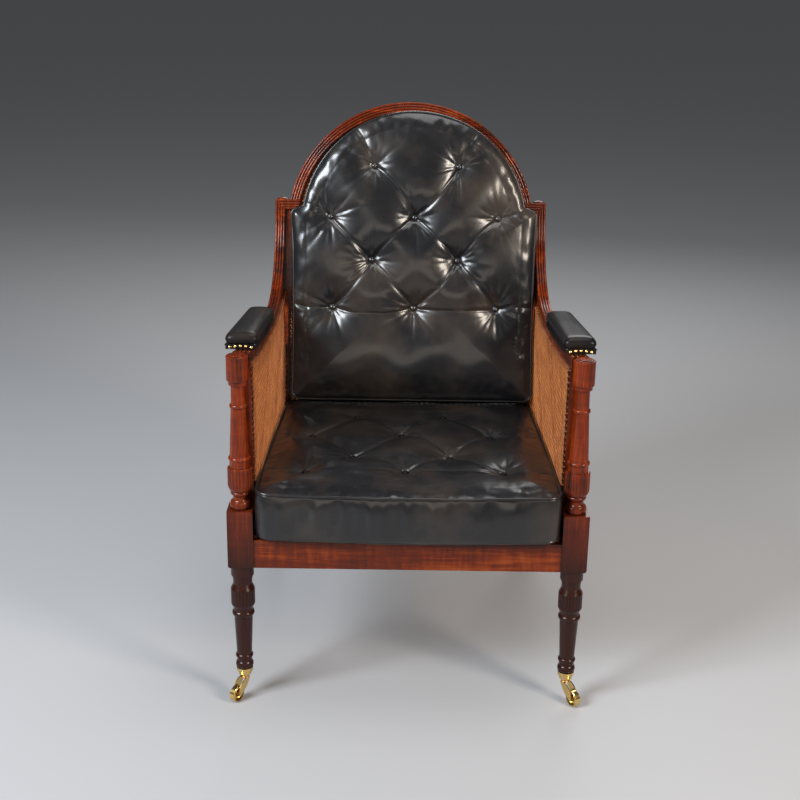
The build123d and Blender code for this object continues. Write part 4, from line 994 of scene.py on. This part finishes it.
# How far painted shade darkens the legs towards the floor
LEG_PAINTED_SHADE = 0.96
PLAIN_TIMBER = ((0.10, 0.05, 0.025), (0.22, 0.12, 0.06), (0.34, 0.20, 0.11))

# Shares of the chosen black and rubbed colours, the coat, the height of the bumps and the gloss
LEATHERS = {
    "leather": ("Black Leather", 1, 1, 0.45, 0.9 * MM, 0.38),
    "welt": ("Leather Piping", 0.8, 0.7, 0.45, 0.3 * MM, 0.38),
    "button": ("Covered Buttons", 1, 0.8, 0.6, 0.2 * MM, 0.38),
    # The seat's buttons are painted darker, as painted shade in the dimples they sink into
    "sunk_button_shaded": ("Sunk Buttons In Painted Shade", 0.5, 0.3, 0, 0.2 * MM, 0.12),
    "pad": ("Pad Leather", 1, 0.8, 0, 0.4 * MM, 0.15),
}


def finish(name):
    """A finish that has been mixed."""
    if name not in finishes:
        raise RuntimeError("mix the finishes before making any piece")
    return finishes[name]


class BERGERE_OT_finishes(bpy.types.Operator):
    """Mix the wood, leather, cane and brass"""

    bl_idname = "bergere.finishes"
    bl_label = "Mix finishes"

    def execute(self, context):
        colors = context.scene.bergere_finishes
        groups = {"grain": grain_group(), "hide": hide_group(), "patina_and_shade": patina_and_shade_group()}
        chosen = [Vector(color) for color in (colors.wood_dark, colors.wood_middle, colors.wood_light)]

        def wood(name, axis, kind, **options):
            shares, figure = kind
            shaded = [tuple(color * share) for color, share in zip(chosen, shares)]
            return mahogany(name, axis, shaded, figure, groups, **options)

        for axis in "XYZ":
            finishes["frame_" + axis] = wood("Mahogany Frame " + axis, axis, FRAME_WOOD)
            finishes["leg_" + axis] = wood("Mahogany Leg " + axis, axis, LEG_WOOD, low_shade=LEG_PAINTED_SHADE)
        finishes["front_rail"] = wood("Figured Front Rail", "X", FRONT_RAIL_WOOD, offset=(0.4, 0, 0.1))
        finishes["timber"] = mahogany("Plain Timber", "X", PLAIN_TIMBER, 0.2, groups)
        black, rubbed = Vector(colors.leather_black), Vector(colors.leather_rubbed)
        for key, (name, black_share, rubbed_share, coat, bump, specular) in LEATHERS.items():
            finishes[key] = leather(
                name, black * black_share, rubbed * rubbed_share, coat, bump, specular, groups
            )
        finishes["brass"] = brass("Polished Brass", tuple(colors.brass), groups)
        finishes["cane"] = cane("Split Cane", tuple(colors.cane_pale), tuple(colors.cane_golden), groups)
        return {"FINISHED"}


class BERGERE_OT_woodwork(bpy.types.Operator):
    """Polish the wooden frame"""

    bl_idname = "bergere.woodwork"
    bl_label = "Polish woodwork"

    def execute(self, context):
        grain = {
            "rear_seat_rail": "frame_X",
            "crest_arch": "frame_X",
            "back_panel_arch": "frame_X",
            "back_panel_rail": "frame_X",
            "front_seat_rail": "front_rail",
            "seat_corner_blocks": "timber",
        }
        for side in SIDES:
            grain.update(
                {
                    "front_post_" + side: "leg_Z",
                    "rear_post_" + side: "frame_Z",
                    "side_seat_rail_" + side: "leg_Y",
                    "shoulder_block_" + side: "frame_X",
                    "shoulder_cap_" + side: "frame_X",
                    "arm_" + side: "frame_Y",
                    # Painted shade: the side stiles take the darker leg wood, where they stand in shadow
                    # beside the back cushion
                    "side_stile_" + side: "leg_Z",
                    "side_panel_rail_" + side: "leg_Y",
                    "back_panel_stile_" + side: "frame_Z",
                }
            )
        for node, name in grain.items():
            paint(node, finish(name))
        return {"FINISHED"}


OUTLINE_STEP = 5 * MM
SEAT_OUTLINE_HEIGHT = 8.5 * MM
SEAT_WELT_HEIGHT = 94 * MM
SEAT_FALL = 20 * MM
SEAT_LOW_WELT_HEIGHT = 8 * MM
SEAT_WELT_STAND = 0.6 * MM
BACK_MIDDLE_HEIGHT = 59 * MM
BACK_OUTLINE_DROP = 4 * MM
BACK_WEDGE = 9 * MM
BACK_REAR_WELT_HEIGHT = 5 * MM
BACK_FOOT_HEIGHT = 60 * MM
BACK_FOOT_DROP = 7 * MM


class BERGERE_OT_seat_cushion(bpy.types.Operator):
    """Upholster the seat cushion"""

    bl_idname = "bergere.seat_cushion"
    bl_label = "Seat cushion"

    def execute(self, context):
        sizes = context.scene.bergere_sizes
        place = Matrix.Identity(4)
        base = node_points("seat_cushion")[:, 2].min()
        outline = section_outline("seat_cushion", place, base + SEAT_OUTLINE_HEIGHT)
        loop = even_loop(outline, OUTLINE_STEP)
        buttons = button_places("seat_tuft_buttons", place)
        rows = rows_of(buttons)
        pleats = diamond_pleats(rows) + row_pleats(rows[0], 0.62)
        for row in rows:
            if len(row) == 3:
                pleats += edge_pleats(row, loop, 18 * MM, rises=(10 * MM, 8 * MM), strengths=(0.45, 0.45))
        quilt = Quilt(
            seed=11,
            buttons=[spot[:2] for spot in buttons],
            pleats=pleats,
            depth=sizes.seat_tuft,
            bowl=0.042,
            valley=0.032,
            fold=1.8 * MM,
        )
        shape = Stuffing(
            base=base,
            welt=base + SEAT_WELT_HEIGHT,
            fall=SEAT_FALL,
            crown=23 * MM,
            rim_share=0.04,
            roll=60 * MM,
            bulge=1.2 * MM,
            front_bulge=7 * MM,
            cells=240,
            border_cells=16,
            seed=5,
        )
        mesh = quilted_cushion("Seat_Cushion", place, loop, shape, quilt, buttons)
        cushion = show("Seat_Cushion", mesh, SEAT, finish("leather"))
        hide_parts("seat_cushion")
        for name, height, drop, grow in (
            ("Seat_Top_Welt", shape.welt, shape.fall, SEAT_WELT_STAND),
            ("Seat_Bottom_Welt", base + SEAT_LOW_WELT_HEIGHT, 0, -SEAT_WELT_STAND),
        ):
            line = welt_line(loop, height, drop, grow, seed=21)
            mesh = tube_along(name, line, sizes.welt / 2, place)
            show(name, mesh, SEAT, finish("welt"))
        # The seat's buttons darkened as painted shade
        paint("seat_tuft_buttons", finish("sunk_button_shaded"))
        return {"FINISHED"}


class BERGERE_OT_back_cushion(bpy.types.Operator):
    """Upholster the back cushion"""

    bl_idname = "bergere.back_cushion"
    bl_label = "Back cushion"

    def outline(self, place, height):
        """The cushion's outline at a height, with its foot let down behind the seat cushion."""
        loop = even_loop(section_outline("back_cushion", place, height), OUTLINE_STEP)
        foot = loop[:, 1] < loop[:, 1].min() + BACK_FOOT_HEIGHT
        loop[foot, 1] -= BACK_FOOT_DROP
        return loop

    def pleats(self, rows, loop):
        """The diamonds, a fold along the lowest row and folds from the outer buttons to the edges."""
        low, top = rows[0], rows[-1]
        plain = [{top[0][:2], rows[-2][0][:2]}, {top[-1][:2], rows[-2][-1][:2]}]
        pleats = [pleat for pleat in diamond_pleats(rows) if set(pleat[:2]) not in plain]
        pleats += row_pleats(low, 0.80)
        pleats += edge_pleats(low, loop, 10 * MM, rises=(6 * MM, 4 * MM), strengths=(0.78, 0.78))
        for row in rows[1:]:
            if len(row) == 3:
                pleats += edge_pleats(row, loop, 12 * MM, rises=(34 * MM, 30 * MM), strengths=(0.60, 0.66))
        pleats.append((top[0][:2], (top[0][0] - 46 * MM, top[0][1] + 84 * MM), 0.80))
        pleats.append((top[-1][:2], (top[-1][0] + 34 * MM, top[-1][1] + 66 * MM), 0.40))
        return pleats

    def execute(self, context):
        sizes = context.scene.bergere_sizes
        place = back_matrix()
        heights = local_points("back_cushion", place)[:, 2]
        base, crest = heights.min(), heights.max()
        middle = base + BACK_MIDDLE_HEIGHT
        loop = self.outline(place, middle - BACK_OUTLINE_DROP)
        buttons = button_places("back_buttons", place)
        quilt = Quilt(
            seed=37,
            buttons=[spot[:2] for spot in buttons],
            pleats=self.pleats(rows_of(buttons), loop),
            depth=sizes.back_tuft,
            bowl=0.054,
            valley=0.040,
            fold=2.4 * MM,
        )
        shape = Stuffing(
            base=base,
            welt=middle + BACK_WEDGE,
            fall=BACK_WEDGE,
            crown=crest - middle + 2 * MM,
            rim_share=0.18,
            roll=44 * MM,
            bulge=-1 * MM,
            front_bulge=0,
            cells=260,
            border_cells=12,
            seed=9,
        )
        mesh = quilted_cushion("Back_Cushion", place, loop, shape, quilt, buttons)
        cushion = show("Back_Cushion", mesh, BACK, finish("leather"))
        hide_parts("back_cushion")
        for name, height, drop in (
            ("Back_Front_Welt", shape.welt, shape.fall),
            ("Back_Rear_Welt", base + BACK_REAR_WELT_HEIGHT, 0),
        ):
            line = welt_line(loop, height, drop, grow=0, seed=53)
            mesh = tube_along(name, line, sizes.welt / 2, place)
            show(name, mesh, BACK, finish("welt"))
        paint("back_buttons", finish("button"))
        return {"FINISHED"}


class BERGERE_OT_arm_pads(bpy.types.Operator):
    """Upholster the arm pads"""

    bl_idname = "bergere.arm_pads"
    bl_label = "Arm pads"

    def soften(self, piece):
        """Rounds a piece's edges and leaves the result in its mesh."""
        remesh = piece.modifiers.new("Remesh", "REMESH")
        remesh.mode = "VOXEL"
        remesh.voxel_size = 2.4 * MM
        smooth = piece.modifiers.new("Smooth", "SMOOTH")
        smooth.factor = 0.5
        smooth.iterations = 12
        depsgraph = bpy.context.evaluated_depsgraph_get()
        settled = bpy.data.meshes.new_from_object(piece.evaluated_get(depsgraph))
        settled.polygons.foreach_set("use_smooth", [True] * len(settled.polygons))
        settled.name = piece.name
        piece.modifiers.clear()
        piece.data = settled

    def execute(self, context):
        for side in SIDES:
            node = "arm_pad_" + side
            bm = bmesh.new()
            bm.from_mesh(nodes[node].data)
            bmesh.ops.remove_doubles(bm, verts=bm.verts, dist=MERGE_DISTANCE)
            name = "Arm_Pad_" + side.title()
            piece = show(name, mesh_from(bm, name), CHAIR, finish("pad"))
            self.soften(piece)
            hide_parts(node)
            for label, edge in (("Inner", -1), ("Outer", 1)):
                name = f"Pad_Gimp_{side.title()}_{label}"
                mesh = tube_along(name, board_edge(side, edge), GIMP_RADIUS, side_matrix(side), closed=False)
                show(name, mesh, CHAIR, finish("welt"))
        return {"FINISHED"}


BACK_PITCH_SHARE = 1.1
SEAT_PITCH_SHARE = 1.2


class BERGERE_OT_caning(bpy.types.Operator):
    """Weave the cane of the back, the sides and the seat"""

    bl_idname = "bergere.caning"
    bl_label = "Caning"

    def execute(self, context):
        sizes = context.scene.bergere_sizes
        panels = [("side_cane_" + side, side_matrix(side), sizes.cane_pitch, -1) for side in SIDES]
        back_pitch = sizes.cane_pitch * BACK_PITCH_SHARE
        panels.append(("back_cane_panel", back_matrix(), back_pitch, 1))
        seat_pitch = sizes.cane_pitch * SEAT_PITCH_SHARE
        panels.append(("seat_cane_deck", Matrix.Identity(4), seat_pitch, 1))
        for node, place, pitch, face in panels:
            heights = local_points(node, place)[:, 2]
            middle = (heights.min() + heights.max()) / 2
            loop = section_outline(node, place, middle)
            mesh = woven_panel(node.title(), place, loop, middle, pitch, sizes.cane_width, face)
            panel = show(node.title(), mesh, CHAIR, finish("cane"))
            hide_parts(node)
            knots = cane_knots(node.title() + "_Knots", place, loop, middle, pitch, sizes.cane_width)
            show(knots.name, knots, CHAIR, finish("cane"))
        return {"FINISHED"}


class BERGERE_OT_brasswork(bpy.types.Operator):
    """Polish the casters and nails, and cover the elbow boards"""

    bl_idname = "bergere.brasswork"
    bl_label = "Brasswork"

    def execute(self, context):
        for side in SIDES:
            paint("pad_nails_" + side, finish("brass"))
            paint("elbow_board_" + side, finish("pad"))
        paint("caster_screws", finish("brass"))
        for corner in CORNERS:
            for part in ("socket", "horn", "axle", "wheel"):
                paint(f"caster_{part}_{corner}", finish("brass"))
        return {"FINISHED"}


FLOOR_SIZE = 60
FLOOR_COLOR = (0.355, 0.357, 0.366, 1)
WORLD_COLOR = (0.56, 0.57, 0.59, 1)
WORLD_ON_CHAIR = 0.28
WORLD_IN_VIEW = 0.135
# Place, aim, size, power and colour of each softbox
SOFTBOXES = {
    "Key": ((-2.3, -1.9, 2.4), (0, 0.1, 0.7), (1.3, 1.5), 185, (0.88, 0.94, 1.0)),
    "Fill": ((2.2, -2.0, 1.9), (0, 0.1, 0.7), (0.8, 1.1), 90, (1.0, 0.88, 0.76)),
    "Front": ((0, -3.5, 1.0), (0, 0, 0.6), (2.4, 0.7), 10, (1.0, 0.90, 0.80)),
    "Top": ((0.3, -0.2, 3.2), (0, 0, 0.4), (1.7, 1.3), 28, (1, 1, 1)),
    "Rear": ((0.6, 2.8, 2.2), (0, 0, 0.6), (2.0, 1.2), 30, (1, 1, 1)),
}
CAMERA_PLACE = (-0.02214, -2.56895, 1.37224)
CAMERA_YAW = 0.00186
CAMERA_PITCH = 0.33161
CAMERA_ROLL = 0.01518
CAMERA_LENS = 60.174
CAMERA_SENSOR = 36
CAMERA_REACH = 200


def studio_floor():
    """A plain pale floor, which is not part of the chair."""
    bm = bmesh.new()
    bmesh.ops.create_grid(bm, x_segments=1, y_segments=1, size=FLOOR_SIZE)
    floor = link_object("Studio_Floor", mesh_from(bm, "Studio_Floor"))
    material, _, shader = new_material("Studio Floor")
    shader.inputs["Base Color"].default_value = FLOOR_COLOR
    shader.inputs["Roughness"].default_value = 0.6
    floor.data.materials.append(material)


def studio_world():
    """Soft light all round, seen darker by the camera and in gloss."""
    world = bpy.data.worlds.new("Studio")
    bpy.context.scene.world = world
    world.use_nodes = True
    tree = world.node_tree
    background = tree.nodes["Background"]
    background.inputs["Color"].default_value = WORLD_COLOR
    path = add(tree, "ShaderNodeLightPath")
    seen = maths(tree, "ADD", path.outputs["Is Camera Ray"], path.outputs["Is Glossy Ray"])
    seen = maths(tree, "ADD", seen, path.outputs["Is Transmission Ray"], clamp=True)
    strength = spread(tree, seen, start=WORLD_ON_CHAIR, end=WORLD_IN_VIEW)
    tree.links.new(strength, background.inputs["Strength"])


def softbox(name, place, aim, size, power, color):
    """A rectangular lamp turned to what it is aimed at."""
    data = bpy.data.lights.new(name, "AREA")
    data.shape = "RECTANGLE"
    data.size, data.size_y = size
    data.energy = power
    data.color = color
    lamp = link_object(name, data)
    lamp.location = place
    lamp.rotation_euler = (Vector(aim) - Vector(place)).to_track_quat("-Z", "Y").to_euler()


def studio_camera():
    """The camera at the photograph's viewing angle."""
    data = bpy.data.cameras.new("Camera")
    data.lens = CAMERA_LENS
    data.sensor_width = CAMERA_SENSOR
    data.clip_end = CAMERA_REACH
    camera = link_object("Camera", data)
    sight = Vector(
        (
            math.sin(CAMERA_YAW) * math.cos(CAMERA_PITCH),
            math.cos(CAMERA_YAW) * math.cos(CAMERA_PITCH),
            -math.sin(CAMERA_PITCH),
        )
    )
    right = Vector((math.cos(CAMERA_YAW), -math.sin(CAMERA_YAW), 0))
    up = right.cross(sight)
    turned_right = right * math.cos(CAMERA_ROLL) + up * math.sin(CAMERA_ROLL)
    turned_up = -right * math.sin(CAMERA_ROLL) + up * math.cos(CAMERA_ROLL)
    rotation = Matrix((turned_right, turned_up, -sight)).transposed()
    camera.matrix_world = Matrix.Translation(CAMERA_PLACE) @ rotation.to_4x4()
    bpy.context.scene.camera = camera


class BERGERE_OT_stage(bpy.types.Operator):
    """Set the studio: floor, lights, world and camera"""

    bl_idname = "bergere.stage"
    bl_label = "Studio"

    def execute(self, context):
        studio_floor()
        studio_world()
        for name, settings in SOFTBOXES.items():
            softbox(name, *settings)
        studio_camera()
        context.scene.view_settings.view_transform = "Standard"
        return {"FINISHED"}


class BERGERE_PT_panel(bpy.types.Panel):
    """The chair's sizes, finishes and pieces"""

    bl_label = "Library Bergere"
    bl_idname = "BERGERE_PT_panel"
    bl_space_type = "VIEW_3D"
    bl_region_type = "UI"
    bl_category = "Bergere"

    def draw(self, context):
        for group in (context.scene.bergere_sizes, context.scene.bergere_finishes):
            for name in group.__annotations__:
                self.layout.prop(group, name)
        for operator in OPERATORS:
            self.layout.operator(operator.bl_idname)


OPERATORS = (
    BERGERE_OT_finishes,
    BERGERE_OT_woodwork,
    BERGERE_OT_seat_cushion,
    BERGERE_OT_back_cushion,
    BERGERE_OT_arm_pads,
    BERGERE_OT_caning,
    BERGERE_OT_brasswork,
    BERGERE_OT_stage,
)
CLASSES = (BergereSizes, BergereFinishes, *OPERATORS, BERGERE_PT_panel)


def register():
    """Registers the classes and their settings."""
    for cls in CLASSES:
        bpy.utils.register_class(cls)
    bpy.types.Scene.bergere_sizes = bpy.props.PointerProperty(type=BergereSizes)
    bpy.types.Scene.bergere_finishes = bpy.props.PointerProperty(type=BergereFinishes)


def unregister():
    """Takes the classes and their settings away again."""
    del bpy.types.Scene.bergere_finishes
    del bpy.types.Scene.bergere_sizes
    for cls in reversed(CLASSES):
        bpy.utils.unregister_class(cls)


def main():
    """Makes every piece."""
    register()
    bpy.ops.bergere.finishes()
    bpy.ops.bergere.woodwork()
    bpy.ops.bergere.seat_cushion()
    bpy.ops.bergere.back_cushion()
    bpy.ops.bergere.arm_pads()
    bpy.ops.bergere.caning()
    bpy.ops.bergere.brasswork()
    bpy.ops.bergere.stage()


if __name__ == "__main__":
    main()
